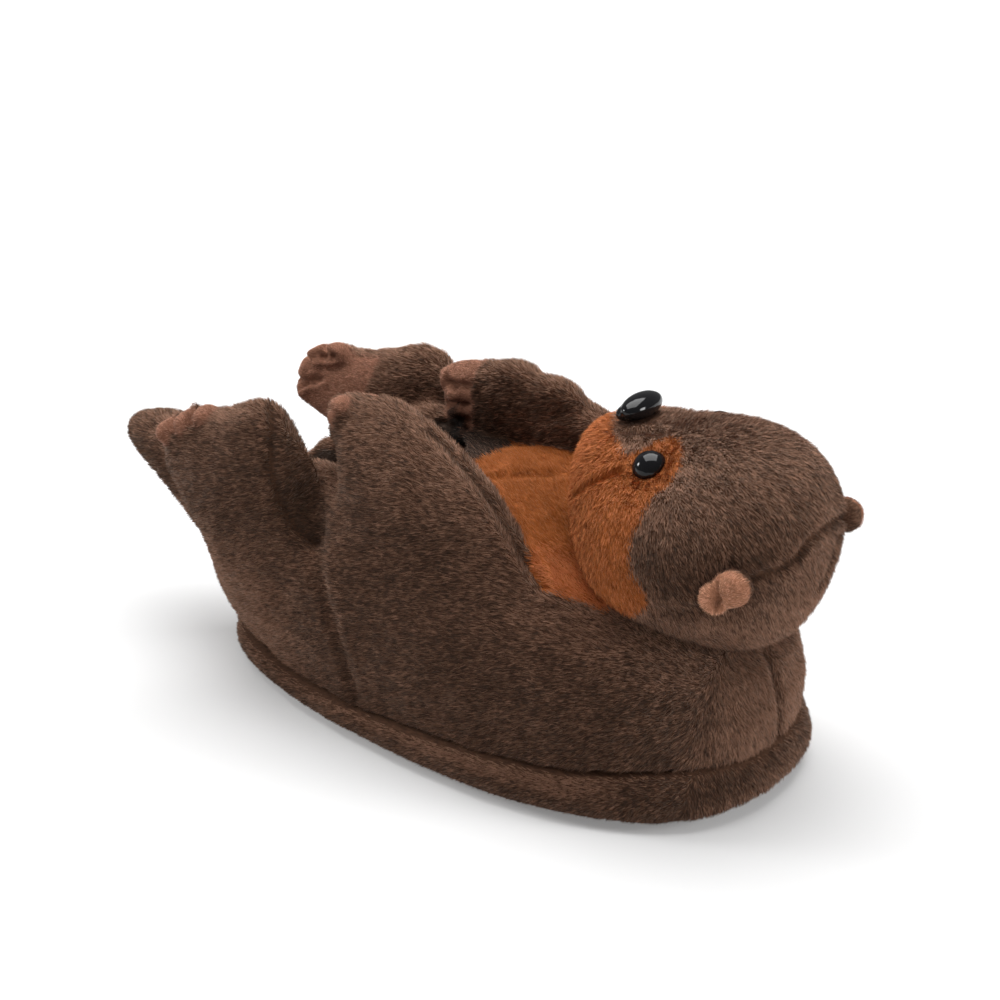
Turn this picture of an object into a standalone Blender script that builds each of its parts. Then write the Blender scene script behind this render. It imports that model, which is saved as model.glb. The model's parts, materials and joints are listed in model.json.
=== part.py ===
"""Plush slipper in the form of a sea otter floating on its back.

The toe of the slipper points to +X and the floor is at Z = 0. The origin is on the floor,
under the middle of the sole. The sole and the opening are symmetric about Y = 0, so the slipper
fits either foot.
All lengths are in metres.
"""

import math
from collections import namedtuple

import bmesh
import bpy
import numpy as np
from mathutils import Vector

MM = 0.001

# Sole outline
SOLE_LENGTH = 288 * MM
SOLE_WIDTH = 144 * MM
BALL_X = 45 * MM
TOE_SQUARENESS = 2.44
HEEL_SQUARENESS = 1.75
SPRING_START_X = 52 * MM
TOE_SPRING = 8 * MM

# Layers under the foot
OUTSOLE_THICKNESS = 1.6 * MM
OUTSOLE_MARGIN = 5 * MM
RIM_HEIGHT = 22 * MM
RIM_BULGE = 1.5 * MM
RIM_CLEARANCE = 0.6 * MM
INSOLE_THICKNESS = 7 * MM
GAP = 0.3 * MM

# Upper
UPPER_WALL = 5 * MM
UPPER_INSET = 2 * MM
INSTEP_HEIGHT = 112 * MM
COLLAR_LENGTH = 104 * MM
COLLAR_WIDTH = 88 * MM
COLLAR_X = -74 * MM
COLLAR_SPREAD = 2.0

# Belly panel
BELLY_THICKNESS = 2 * MM
BELLY_FRONT_X = 60 * MM

# Arms
ARM_LENGTH = 119 * MM
ARM_HEIGHT = 74 * MM
ARM_THICKNESS = 31 * MM
ARM_BACK_X = -54 * MM
ARM_TOP_Z = 150 * MM
ARM_SPACING = 0.68 * SOLE_WIDTH
ARM_LEAN = 0.30
ARM_TOE_IN = 0.0
PAW_LENGTH = 23 * MM
PAW_HEIGHT = 55 * MM

# Legs
LEG_LENGTH = 93 * MM
LEG_HEIGHT = 114 * MM
LEG_THICKNESS = 30 * MM
LEG_BACK_X = -146 * MM
LEG_TOP_Z = 144 * MM
LEG_SPACING = 0.695 * SOLE_WIDTH
LEG_LEAN = -0.05
LEG_TOE_IN = 0.13
FOOT_LENGTH = 46 * MM
FOOT_HEIGHT = 52 * MM
TOE_BULGE = 2.6 * MM
PAD_REACH = 4 * MM

# Tail
TAIL_LENGTH = 84 * MM
TAIL_HEIGHT = 54 * MM
TAIL_WIDTH = 44 * MM
TAIL_TIP_X = -213 * MM
TAIL_TIP_Z = 89 * MM

# Head
HEAD_LENGTH = 111 * MM
HEAD_WIDTH = 110 * MM
HEAD_HEIGHT = 91 * MM
HEAD_START_X = 48 * MM
HEAD_BASE_Z = 64 * MM
HEAD_BLUNTNESS = 2.3

# Face
EYE_DIAMETER = 15 * MM
EYE_SPACING = 64 * MM
EYE_X = 93 * MM
SOCKET_RADIUS = 12 * MM
SOCKET_DEPTH = 7 * MM
NOSE_WIDTH = 27 * MM
NOSE_LENGTH = 14 * MM
NOSE_DEPTH = 14 * MM
NOSE_X = 73 * MM
EAR_LENGTH = 20 * MM
EAR_WIDTH = 18 * MM
EAR_THICKNESS = 10 * MM
EAR_X = 139 * MM
EAR_SPACING = 92 * MM
EAR_Z = 107 * MM

# The left limbs are set a little lower than the right ones, and turned: up at the back is above 0
LEFT_ARM_DROP = 1 * MM
LEFT_LEG_DROP = 1.5 * MM
LEFT_ARM_TILT = math.radians(-12)
LEFT_LEG_TILT = math.radians(9)

# Mesh density
AROUND_SOLE = 56
UPPER_STEPS = 10
SAMPLES_PER_ROW = 3

# Seam height around the platform, as shares of half the sole length and of the rim height
Rim = namedtuple("Rim", "along height")
RIM_ROWS = (
    Rim(-1.00, 0.66),
    Rim(-0.35, 0.64),
    Rim(0.10, 0.80),
    Rim(0.55, 0.93),
    Rim(0.85, 0.94),
    Rim(1.00, 0.72),
)

# Side profiles of the upper from the toe, side 0, round to the heel, side 1. Heights are shares
# of the instep height, and bulge and reach are shares of half the sole width.
Profile = namedtuple("Profile", "side collar bulge rise reach lift")
PROFILE_ROWS = (
    Profile(0.00, 0.99, 0.14, 0.52, 1.30, 0.03),
    Profile(0.22, 0.99, 0.15, 0.62, 1.15, 0.02),
    Profile(0.40, 0.98, 0.16, 0.72, 0.72, 0.03),
    Profile(0.55, 0.98, 0.18, 0.70, 0.36, 0.03),
    Profile(0.70, 0.95, 0.32, 0.58, 0.20, 0.00),
    Profile(0.85, 0.82, 0.40, 0.46, 0.20, 0.00),
    Profile(1.00, 0.68, 0.36, 0.34, 0.16, 0.02),
)

# Outlines seen from the side, as shares of the length from the back and the height from the
# bottom. A toe swells out between its row and the next.
Edge = namedtuple("Edge", "along up toe")
ARM_ROWS = (
    Edge(1.00, 0.12, 0),
    Edge(0.91, 0.33, 0),
    Edge(0.81, 0.50, 0),
    Edge(0.68, 0.68, 0),
    Edge(0.50, 0.84, 0),
    Edge(0.34, 0.96, 0),
    Edge(0.19, 1.00, 0),
    Edge(0.05, 0.96, 1),
    Edge(0.01, 0.82, 1),
    Edge(0.02, 0.67, 1),
    Edge(0.03, 0.52, 1),
    Edge(0.06, 0.38, 0),
    Edge(0.14, 0.20, 0),
    Edge(0.34, 0.05, 0),
    Edge(0.65, 0.00, 0),
    Edge(0.90, 0.00, 0),
)
LEG_ROWS = (
    Edge(1.00, 0.62, 0),
    Edge(0.97, 0.76, 0),
    Edge(0.90, 0.89, 0),
    Edge(0.80, 0.98, 0),
    Edge(0.68, 0.99, 0),
    Edge(0.55, 0.95, 0),
    Edge(0.40, 0.90, 0),
    Edge(0.28, 0.87, 1),
    Edge(0.16, 0.83, 1),
    Edge(0.05, 0.77, 1),
    Edge(0.01, 0.67, 1),
    Edge(0.04, 0.56, 0),
    Edge(0.12, 0.46, 0),
    Edge(0.22, 0.30, 0),
    Edge(0.31, 0.12, 0),
    Edge(0.47, 0.00, 0),
    Edge(0.74, 0.00, 0),
    Edge(0.92, 0.16, 0),
    Edge(0.98, 0.42, 0),
)

# The left foot is bent up further at the ankle: its rows that differ, by their place in the table
LEFT_ANKLE = {
    11: Edge(0.05, 0.60, 0),
    12: Edge(0.15, 0.57, 0),
    13: Edge(0.28, 0.52, 0),
    14: Edge(0.38, 0.31, 0),
    15: Edge(0.50, 0.00, 0),
}

# The right paw is drawn in at the wrist: its rows that differ, by their place in the table
RIGHT_WRIST = {
    9: Edge(0.05, 0.68, 0),
    10: Edge(0.09, 0.53, 0),
    11: Edge(0.13, 0.38, 0),
    12: Edge(0.19, 0.20, 0),
}

# Sections of the tail from its root to its tip. Along and drop are shares of the tail's length,
# and the half sizes are shares of its height and width.
Section = namedtuple("Section", "along drop half_height half_width")
TAIL_ROWS = (
    Section(0.00, 0.47, 0.40, 0.46),
    Section(0.30, 0.29, 0.42, 0.50),
    Section(0.58, 0.11, 0.34, 0.45),
    Section(0.80, 0.03, 0.22, 0.34),
    Section(0.94, 0.01, 0.13, 0.20),
)

# Sections of the head from the muzzle to the crown, as shares of its length, width and height.
# Fullness is the power of the section's curve: 2 is round, less is pointed.
Slice = namedtuple("Slice", "along half_width middle above below fullness")
HEAD_ROWS = (
    Slice(0.00, 0.332, 0.68, 0.47, 0.46, 2.0),
    Slice(0.25, 0.480, 0.54, 0.455, 0.47, 2.25),
    Slice(0.50, 0.499, 0.51, 0.495, 0.49, 2.0),
    Slice(0.75, 0.468, 0.52, 0.52, 0.55, 1.9),
    Slice(1.00, 0.414, 0.56, 0.57, 0.59, 1.7),
)

# Rings of a stuffed limb, from its seam to its middle
LIMB_RINGS = (1.0, 0.88, 0.66, 0.36)

BROWN = (0.085, 0.052, 0.036)
ORANGE = (0.42, 0.15, 0.045)
RUST = (0.24, 0.105, 0.06)
PEACH = (0.46, 0.25, 0.17)
BLACK = (0.006, 0.006, 0.007)
LINING = (0.12, 0.078, 0.055)
GRIP = (0.05, 0.04, 0.035)


def clear_scene():
    for old in list(bpy.data.objects):
        bpy.data.objects.remove(old, do_unlink=True)


def new_collection(name):
    collection = bpy.data.collections.new(name)
    bpy.context.scene.collection.children.link(collection)
    return collection


def make_material(name, colour, roughness, metallic=0.0):
    material = bpy.data.materials.new(name)
    material.use_nodes = True
    shader = material.node_tree.nodes["Principled BSDF"]
    shader.inputs["Base Color"].default_value = (*colour, 1)
    shader.inputs["Roughness"].default_value = roughness
    shader.inputs["Metallic"].default_value = metallic
    return material


def smooth_table(rows, key, value, at):
    """Reads one column of a table at a place between its rows, easing from row to row."""
    keys = [getattr(row, key) for row in rows]
    values = [getattr(row, value) for row in rows]
    slopes = np.gradient(values, keys)
    at = np.clip(at, keys[0], keys[-1])
    row = np.clip(np.searchsorted(keys, at) - 1, 0, len(keys) - 2)
    low, high = np.take(keys, row), np.take(keys, row + 1)
    span = high - low
    t = (at - low) / span
    start, end = np.take(values, row), np.take(values, row + 1)
    out, into = np.take(slopes, row) * span, np.take(slopes, row + 1) * span
    return (
        (2 * t**3 - 3 * t**2 + 1) * start
        + (t**3 - 2 * t**2 + t) * out
        + (3 * t**2 - 2 * t**3) * end
        + (t**3 - t**2) * into
    )


def toe_lift(x):
    """Height that the toe spring adds at x."""
    share = np.clip((x - SPRING_START_X) / (SOLE_LENGTH / 2 - SPRING_START_X), 0, None)
    return TOE_SPRING * share**2


def rim_height(x):
    """Height of the seam between platform and upper, without the toe spring."""
    return RIM_HEIGHT * smooth_table(RIM_ROWS, "along", "height", x / (SOLE_LENGTH / 2))


def sole_outline(count=AROUND_SOLE):
    """Points of the sole's edge from the toe round by +Y, evenly spaced along it."""
    turn = np.linspace(0, math.pi, 2001)
    toe = turn <= math.pi / 2
    power = np.where(toe, 2 / TOE_SQUARENESS, 2 / HEEL_SQUARENESS)
    reach = np.where(toe, SOLE_LENGTH / 2 - BALL_X, SOLE_LENGTH / 2 + BALL_X)
    x = BALL_X + np.sign(np.cos(turn)) * reach * np.abs(np.cos(turn)) ** power
    y = SOLE_WIDTH / 2 * np.abs(np.sin(turn)) ** power
    along = np.concatenate([[0], np.cumsum(np.hypot(np.diff(x), np.diff(y)))])
    share = np.linspace(0, 1, count // 2 + 1)
    half_x = np.interp(share, along / along[-1], x)
    half_y = np.interp(share, along / along[-1], y)
    half_y[[0, -1]] = 0
    edge_x = np.concatenate([half_x, half_x[-2:0:-1]])
    edge_y = np.concatenate([half_y, -half_y[-2:0:-1]])
    return np.stack([edge_x, edge_y], axis=1)


def outward(points):
    """Unit normals in plan of a closed line that runs anticlockwise."""
    ahead = np.roll(points, -1, axis=0) - np.roll(points, 1, axis=0)
    normal = np.stack([ahead[:, 1], -ahead[:, 0]], axis=1)
    return normal / np.linalg.norm(normal, axis=1, keepdims=True)


def link(name, mesh, material, collection):
    item = bpy.data.objects.new(name, mesh)
    collection.objects.link(item)
    if material is not None:
        mesh.materials.append(material)
        mesh.shade_smooth()
    else:
        item.hide_render = True
        item.display_type = "WIRE"
    return item


def loft(name, rings, material, collection, first=None, last=None, joined=False):
    """Joins rings of equal length. Its ends close on the points first and last, or on each
    other where joined is set."""
    count = len(rings[0])
    builder = bmesh.new()
    rows = [[builder.verts.new(point) for point in ring] for ring in rings]
    pairs = list(zip(rows, rows[1:]))
    if joined:
        pairs.append((rows[-1], rows[0]))
    for low, high in pairs:
        for i in range(count):
            j = (i + 1) % count
            builder.faces.new((low[i], low[j], high[j], high[i]))
    for point, row in ((first, rows[0]), (last, rows[-1])):
        if point is None:
            continue
        pole = builder.verts.new(point)
        for i in range(count):
            builder.faces.new((row[i], row[(i + 1) % count], pole))
    bmesh.ops.triangulate(builder, faces=builder.faces)
    bmesh.ops.recalc_face_normals(builder, faces=builder.faces)
    if builder.calc_volume(signed=True) < 0:
        bmesh.ops.reverse_faces(builder, faces=builder.faces)
    mesh = bpy.data.meshes.new(name)
    builder.to_mesh(mesh)
    builder.free()
    return link(name, mesh, material, collection)


def boolean(item, cutter, operation):
    modifier = item.modifiers.new(operation.title(), "BOOLEAN")
    modifier.solver = "MANIFOLD"
    modifier.operation = operation
    modifier.object = cutter
    return item


def plan_ring(scale, inset, height):
    """A ring parallel to the sole's edge: inset from it, scaled to the middle, at height(x)."""
    edge = sole_outline()
    flat = (edge - outward(edge) * inset) * scale
    return np.column_stack([flat, height(flat[:, 0])])


def slab(name, under, over, side_rings, inset, material, collection):
    """A closed layer that follows the toe spring, between the heights under(x) and over(x)."""
    scales = (0.45, 0.85)
    rings = [plan_ring(scale, inset + MM, under) for scale in scales]
    rings += side_rings
    rings += [plan_ring(scale, inset + MM, over) for scale in reversed(scales)]
    middle = np.zeros(1)
    first = (0, 0, float(under(middle)[0]))
    last = (0, 0, float(over(middle)[0]))
    return loft(name, rings, material, collection, first, last)


def make_outsole(material, collection):
    def under(x):
        return toe_lift(x)

    def over(x):
        return toe_lift(x) + OUTSOLE_THICKNESS

    sides = [
        plan_ring(1, OUTSOLE_MARGIN + MM, under),
        plan_ring(1, OUTSOLE_MARGIN, lambda x: toe_lift(x) + OUTSOLE_THICKNESS / 2),
        plan_ring(1, OUTSOLE_MARGIN + MM, over),
    ]
    return slab("outsole", under, over, sides, OUTSOLE_MARGIN, material, collection)


def platform_bottom(x):
    return toe_lift(x) + OUTSOLE_THICKNESS + GAP


def platform_top(x):
    return toe_lift(x) + rim_height(x)


def make_platform(material, collection):
    """Foam sole in its plush cover, rounded at the floor and drawn in at the top seam."""

    def between(share):
        return lambda x: platform_bottom(x) * (1 - share) + platform_top(x) * share

    sides = [
        plan_ring(1, OUTSOLE_MARGIN - 2 * GAP, platform_bottom),
        plan_ring(1, OUTSOLE_MARGIN - 3 * GAP, lambda x: toe_lift(x) + RIM_CLEARANCE),
        plan_ring(1, RIM_BULGE, lambda x: toe_lift(x) + RIM_CLEARANCE),
        plan_ring(1, 0, between(0.14)),
        plan_ring(1, -RIM_BULGE, between(0.45)),
        plan_ring(1, -RIM_BULGE / 2, between(0.82)),
        plan_ring(1, UPPER_INSET, platform_top),
    ]
    inset = OUTSOLE_MARGIN
    return slab("platform", platform_bottom, platform_top, sides, inset, material, collection)


def collar_point(side):
    """The collar's edge in plan where the side line meets it, from 0 at the toe to 1 at the heel."""
    turn = math.pi * side**COLLAR_SPREAD
    x = COLLAR_X + COLLAR_LENGTH / 2 * np.cos(turn)
    return np.stack([x, COLLAR_WIDTH / 2 * np.sin(turn)], axis=1)


def upper_rings(offset=0.0):
    """Rings of the upper's outer face from the platform seam to the collar, moved out by offset."""
    edge = sole_outline()
    half = AROUND_SOLE // 2
    side = np.minimum(np.arange(AROUND_SOLE), AROUND_SOLE - np.arange(AROUND_SOLE)) / half
    mirror = np.where(np.arange(AROUND_SOLE) > half, -1, 1)
    column = {
        name: smooth_table(PROFILE_ROWS, "side", name, side) for name in Profile._fields[1:]
    }
    flat = edge - outward(edge) * UPPER_INSET
    foot = np.column_stack([flat, platform_top(flat[:, 0]) + GAP])
    collar = collar_point(side)
    collar[:, 1] *= mirror
    top = np.column_stack([collar, INSTEP_HEIGHT * column["collar"]])
    swell = np.column_stack([outward(edge), np.zeros(AROUND_SOLE)])
    rise = np.outer(INSTEP_HEIGHT * column["rise"], (0, 0, 1))
    away = foot - top
    away[:, 2] = 0
    away /= np.linalg.norm(away, axis=1, keepdims=True)
    low = foot + swell * (SOLE_WIDTH / 2 * column["bulge"])[:, None] + rise
    high = top + away * (SOLE_WIDTH / 2 * column["reach"])[:, None]
    high[:, 2] += INSTEP_HEIGHT * column["lift"]
    rings = []
    for share in np.linspace(0, 1, UPPER_STEPS + 1):
        a, b = (1 - share) ** 3, 3 * share * (1 - share) ** 2
        c, d = 3 * share**2 * (1 - share), share**3
        rings.append(a * foot + b * low + c * high + d * top)
    return moved_out(np.array(rings), offset)


def moved_out(grid, offset):
    """A grid of rings with each point moved along its normal, the end rings kept level."""
    around = np.roll(grid, -1, axis=1) - np.roll(grid, 1, axis=1)
    up = np.gradient(grid, axis=0)
    normal = np.cross(around, up)
    normal[0, :, 2] = 0
    normal /= np.linalg.norm(normal, axis=2, keepdims=True)
    return grid + normal * offset


def make_upper(material, collection):
    """The hollow body: one wall, open at the collar and over the platform."""
    outer = upper_rings()
    inner = upper_rings(-UPPER_WALL)
    inner[0][:, 2] = platform_top(inner[0][:, 0]) + GAP
    lip = (outer[-1] + inner[-1]) / 2
    lip[:, 2] = np.maximum(outer[-1][:, 2], inner[-1][:, 2]) + UPPER_WALL / 3
    rings = [*outer, lip, *inner[::-1]]
    return loft("upper", rings, material, collection, joined=True)


def make_envelope(collection):
    """What the upper and the foot space fill, plus the gap that other pieces keep to it."""
    rings = list(upper_rings(GAP))
    mouth = rings[-1].copy()
    mouth[:, 2] += UPPER_WALL / 3 + GAP
    rings.append(mouth)
    base = rings[0].copy()
    base[:, 2] = 0
    rings.insert(0, base)
    first = (0, 0, 0)
    last = (COLLAR_X, 0, float(mouth[:, 2].mean()))
    return loft("envelope", rings, None, collection, first, last)


def make_insole(material, collection):
    """Cushion that fills the floor of the foot space."""
    inner = upper_rings(-UPPER_WALL - 2 * GAP)
    low, high = inner[0], (inner[0] + inner[1]) / 2
    centre = np.array([COLLAR_X / 4, 0])
    base = 3 * GAP
    top = base + INSOLE_THICKNESS

    def ring(wall, scale, height):
        flat = centre + (wall[:, :2] - centre) * scale
        return np.column_stack([flat, platform_top(flat[:, 0]) + height])

    rings = [ring(low, scale, base) for scale in (0.45, 0.85)]
    rings += [ring(low, 0.98, base + MM), ring(high, 0.98, top - 2 * MM)]
    rings += [ring(high, scale, top) for scale in (0.94, 0.8, 0.4)]
    height = float(platform_top(np.array([centre[0]]))[0])
    first, last = (centre[0], 0, height + base), (centre[0], 0, height + top)
    return loft("insole", rings, material, collection, first, last)


def belly_sheet(name, under, over, margin, material, collection):
    """A sheet over the instep between two heights above the upper, with margin more columns."""
    low, high = upper_rings(under), upper_rings(over)
    reach = AROUND_SOLE // 6 + margin
    columns = range(-reach, reach + 1)
    front = next(i for i in range(UPPER_STEPS) if low[i][0][0] < BELLY_FRONT_X)
    rings = []
    for row in range(front - 1 - margin, UPPER_STEPS + margin):
        near = [low[row][i] for i in columns]
        far = [high[row][i] for i in columns]
        rings.append(near + far[::-1])
    builder = bmesh.new()
    lines = [[builder.verts.new(point) for point in ring] for ring in rings]
    count = len(rings[0])
    for first, second in zip(lines, lines[1:]):
        for i in range(count):
            j = (i + 1) % count
            builder.faces.new((first[i], first[j], second[j], second[i]))
    width = count // 2
    for line in (lines[0], lines[-1]):
        for i in range(width - 1):
            builder.faces.new((line[i], line[i + 1], line[count - 2 - i], line[count - 1 - i]))
    bmesh.ops.triangulate(builder, faces=builder.faces)
    bmesh.ops.recalc_face_normals(builder, faces=builder.faces)
    mesh = bpy.data.meshes.new(name)
    builder.to_mesh(mesh)
    builder.free()
    return link(name, mesh, material, collection)


def make_belly(material, parts, cutters, head_room):
    """Orange panel on the instep that runs from the collar to the chin, between the arms.
    Returns the room that the arms leave for it."""
    over = GAP + BELLY_THICKNESS
    belly = belly_sheet("belly", GAP, over, 0, material, parts)
    boolean(belly, head_room, "DIFFERENCE")
    return belly_sheet("belly_room", -GAP, over + GAP, 1, None, cutters)


def limb_outline(rows, back_x, top_z, length, height):
    """A closed curve through the table's rows, seen from the side, with the toes swelling out."""
    points = np.array(
        [(back_x + row.along * length, top_z - (1 - row.up) * height) for row in rows]
    )
    before, after = np.roll(points, 1, axis=0), np.roll(points, -1, axis=0)
    beyond = np.roll(points, -2, axis=0)
    middle = points.mean(axis=0)
    outline = []
    for i, row in enumerate(rows):
        for t in np.arange(SAMPLES_PER_ROW) / SAMPLES_PER_ROW:
            place = 0.5 * (
                2 * points[i]
                + (after[i] - before[i]) * t
                + (2 * before[i] - 5 * points[i] + 4 * after[i] - beyond[i]) * t**2
                + (3 * points[i] - before[i] - 3 * after[i] + beyond[i]) * t**3
            )
            away = (place - middle) / np.linalg.norm(place - middle)
            outline.append(place + away * row.toe * TOE_BULGE * math.sin(math.pi * t))
    return np.array(outline)


def turned(outline, angle):
    """An outline turned about its middle, its back end up for an angle above 0."""
    middle = outline.mean(axis=0)
    cos, sin = math.cos(angle), math.sin(angle)
    return middle + (outline - middle) @ np.array([[cos, -sin], [sin, cos]])


def limb_plane(spacing, lean, toe_in, side, centre):
    """The Y of a limb's middle plane at x and z. It leans in as it rises and turns in as it
    runs back."""
    return lambda x, z: side * (spacing / 2 - lean * (z - centre[1]) + toe_in * (x - centre[0]))


def make_limb(name, outline, plane, thickness, material, collection):
    """Two panels sewn round their edge and stuffed."""
    middle = outline.mean(axis=0)
    rings = []
    order = [(s, -1) for s in reversed(LIMB_RINGS)] + [(s, 1) for s in LIMB_RINGS[1:]]
    for scale, way in order:
        flat = middle + (outline - middle) * scale
        puff = way * thickness / 2 * math.sqrt(1 - scale**2)
        rings.append(np.column_stack([flat[:, 0], plane(*flat.T) + puff, flat[:, 1]]))
    poles = [
        (middle[0], plane(*middle) + way * thickness / 2, middle[1]) for way in (-1, 1)
    ]
    return loft(name, rings, material, collection, *poles)


def make_pad_cutter(name, plane, side, front_x, low_z, gap, collection):
    """The room of a toe panel: the inner side of the limb, behind front_x and above low_z."""
    builder = bmesh.new()
    bmesh.ops.create_cube(builder, size=1)
    shift = side * (PAD_REACH + gap)
    for corner in builder.verts:
        inner = corner.co.y * side < 0
        x = front_x + gap if corner.co.x > 0 else front_x - SOLE_LENGTH / 2
        z = ARM_TOP_Z * 1.2 if corner.co.z > 0 else low_z - gap
        y = plane(x, z) + shift - (side * SOLE_WIDTH / 2 if inner else 0)
        corner.co = Vector((x, y, z))
    bmesh.ops.recalc_face_normals(builder, faces=builder.faces)
    mesh = bpy.data.meshes.new(name)
    builder.to_mesh(mesh)
    builder.free()
    return link(name, mesh, None, collection)


def make_limb_pair(names, rows, sizes, pad_sizes, materials, parts, cutters, blockers):
    """A limb and its toe panel on each side of the slipper. Rows are those of the right and the
    left limb."""
    back_x, top_z, length, height, thickness, spacing, lean, toe_in, left_drop, left_tilt = sizes
    for word, side, drop, tilt in (("right", -1, 0, 0), ("left", 1, left_drop, left_tilt)):
        side_rows = rows[side > 0]
        outline = turned(limb_outline(side_rows, back_x, top_z - drop, length, height), tilt)
        centre = (back_x + length / 2, top_z - drop - height / 2)
        plane = limb_plane(spacing, lean, toe_in, side, centre)
        limb_name, pad_name = (f"{name}_{word}" for name in names)
        front_x = back_x + pad_sizes[0]
        low_z = top_z - drop - pad_sizes[1]
        limb = make_limb(limb_name, outline, plane, thickness, materials[0], parts)
        pad = make_limb(pad_name, outline, plane, thickness, materials[1], parts)
        wide = make_pad_cutter(f"{pad_name}_wide", plane, side, front_x, low_z, GAP, cutters)
        exact = make_pad_cutter(f"{pad_name}_exact", plane, side, front_x, low_z, 0, cutters)
        boolean(limb, wide, "DIFFERENCE")
        boolean(pad, exact, "INTERSECT")
        for blocker in blockers:
            boolean(limb, blocker, "DIFFERENCE")
            boolean(pad, blocker, "DIFFERENCE")


def make_tail(material, collection, envelope):
    """Tapered tail that leaves the heel at the middle and turns up to its tip."""
    turns = np.linspace(0, 2 * math.pi, 24, endpoint=False)
    rings = []
    for row in TAIL_ROWS:
        x = TAIL_TIP_X + TAIL_LENGTH * (1 - row.along)
        z = TAIL_TIP_Z - TAIL_LENGTH * row.drop
        y = TAIL_WIDTH * row.half_width * np.cos(turns)
        high = z + TAIL_HEIGHT * row.half_height * np.sin(turns)
        rings.append(np.column_stack([np.full(len(turns), x), y, high]))
    root = TAIL_ROWS[0]
    first = (TAIL_TIP_X + TAIL_LENGTH, 0, TAIL_TIP_Z - TAIL_LENGTH * root.drop)
    tail = loft("tail", rings, material, collection, first, (TAIL_TIP_X, 0, TAIL_TIP_Z))
    return boolean(tail, envelope, "DIFFERENCE")


def head_slice(x):
    """Half width, middle, heights above and below it, and power of the head's section at x."""
    share = np.clip((x - HEAD_START_X) / HEAD_LENGTH, 0, 1)
    taper = (1 - abs(2 * share - 1) ** HEAD_BLUNTNESS) ** (1 / HEAD_BLUNTNESS)
    column = {key: smooth_table(HEAD_ROWS, "along", key, share) for key in Slice._fields[1:]}
    return (
        taper * HEAD_WIDTH * column["half_width"],
        HEAD_BASE_Z + HEAD_HEIGHT * column["middle"],
        taper * HEAD_HEIGHT * column["above"],
        taper * HEAD_HEIGHT * column["below"],
        column["fullness"],
    )


def head_top(x, y):
    """A point on top of the head, before the eyes are pressed in."""
    half_width, middle, above, _, power = head_slice(x)
    rise = above * (1 - abs(y / half_width) ** power) ** (1 / power)
    return np.array([x, y, middle + rise])


def head_middle():
    return np.array([HEAD_START_X + HEAD_LENGTH / 2, 0, HEAD_BASE_Z + HEAD_HEIGHT / 2])


def pressed(points):
    """Points of the head moved in where the eyes pull it into sockets."""
    for side in (-1, 1):
        socket = head_top(EYE_X, side * EYE_SPACING / 2)
        near = np.exp(-(np.linalg.norm(points - socket, axis=1) ** 2) / SOCKET_RADIUS**2)
        inward = head_middle() - socket
        points = points + np.outer(near, inward / np.linalg.norm(inward)) * SOCKET_DEPTH
    return points


def head_rings(offset=0.0, around=36, rows=22):
    """The stuffed head as rings from the muzzle to the crown, moved out by offset."""
    turns = np.linspace(0, 2 * math.pi, around, endpoint=False)
    rings = []
    for tilt in np.linspace(0, math.pi, rows + 2)[1:-1]:
        x = HEAD_START_X + HEAD_LENGTH * (1 - math.cos(tilt)) / 2
        half_width, middle, above, below, power = head_slice(x)
        across = np.sign(np.cos(turns)) * np.abs(np.cos(turns)) ** (2 / power)
        up = np.sign(np.sin(turns)) * np.abs(np.sin(turns)) ** (2 / power)
        y = across * (half_width + offset)
        z = middle + up * (np.where(up > 0, above, below) + offset)
        reach = offset * (2 * (x - HEAD_START_X) / HEAD_LENGTH - 1)
        rings.append(pressed(np.column_stack([np.full(around, x + reach), y, z])))
    tips = []
    for way in (0, 1):
        x = HEAD_START_X + HEAD_LENGTH * way
        tips.append((x + offset * (2 * way - 1), 0, head_slice(x)[1]))
    return rings, tips


def eye_place(side):
    """The middle of an eye, at the bottom of its socket."""
    return pressed(head_top(EYE_X, side * EYE_SPACING / 2)[None])[0]


def make_head(material, parts, cutters, envelope):
    """The stuffed head, seated on the toe. Returns the room that other pieces leave for it."""
    rings, ends = head_rings()
    boolean(loft("head", rings, material, parts, *ends), envelope, "DIFFERENCE")
    rings, ends = head_rings(GAP)
    return loft("head_room", rings, None, cutters, *ends)


def make_ball(name, place, size, material, collection, segments=20, rings=12):
    builder = bmesh.new()
    bmesh.ops.create_uvsphere(builder, u_segments=segments, v_segments=rings, radius=0.5)
    for vertex in builder.verts:
        vertex.co = Vector(place) + Vector(vertex.co * Vector(size))
    mesh = bpy.data.meshes.new(name)
    builder.to_mesh(mesh)
    builder.free()
    return link(name, mesh, material, collection)


def make_face(black, parts, head_room):
    """Eyes and nose: domes that sit on the head."""
    size = (EYE_DIAMETER,) * 3
    for word, side in (("right", -1), ("left", 1)):
        eye = make_ball(f"eye_{word}", eye_place(side), size, black, parts)
        boolean(eye, head_room, "DIFFERENCE")
    place = head_top(NOSE_X, 0) + (0, 0, NOSE_DEPTH / 4)
    nose = make_ball("nose", place, (NOSE_LENGTH, NOSE_WIDTH, NOSE_DEPTH), black, parts, 24)
    boolean(nose, head_room, "DIFFERENCE")


def make_ears(material, parts, head_room):
    """Small round ears that stand off the sides of the head."""
    for word, side in (("right", -1), ("left", 1)):
        place = (EAR_X, side * EAR_SPACING / 2, EAR_Z)
        size = (EAR_WIDTH, EAR_LENGTH + EAR_THICKNESS, EAR_LENGTH)
        ear = make_ball(f"ear_{word}", place, size, material, parts, 16, 10)
        boolean(ear, head_room, "DIFFERENCE")


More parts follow.
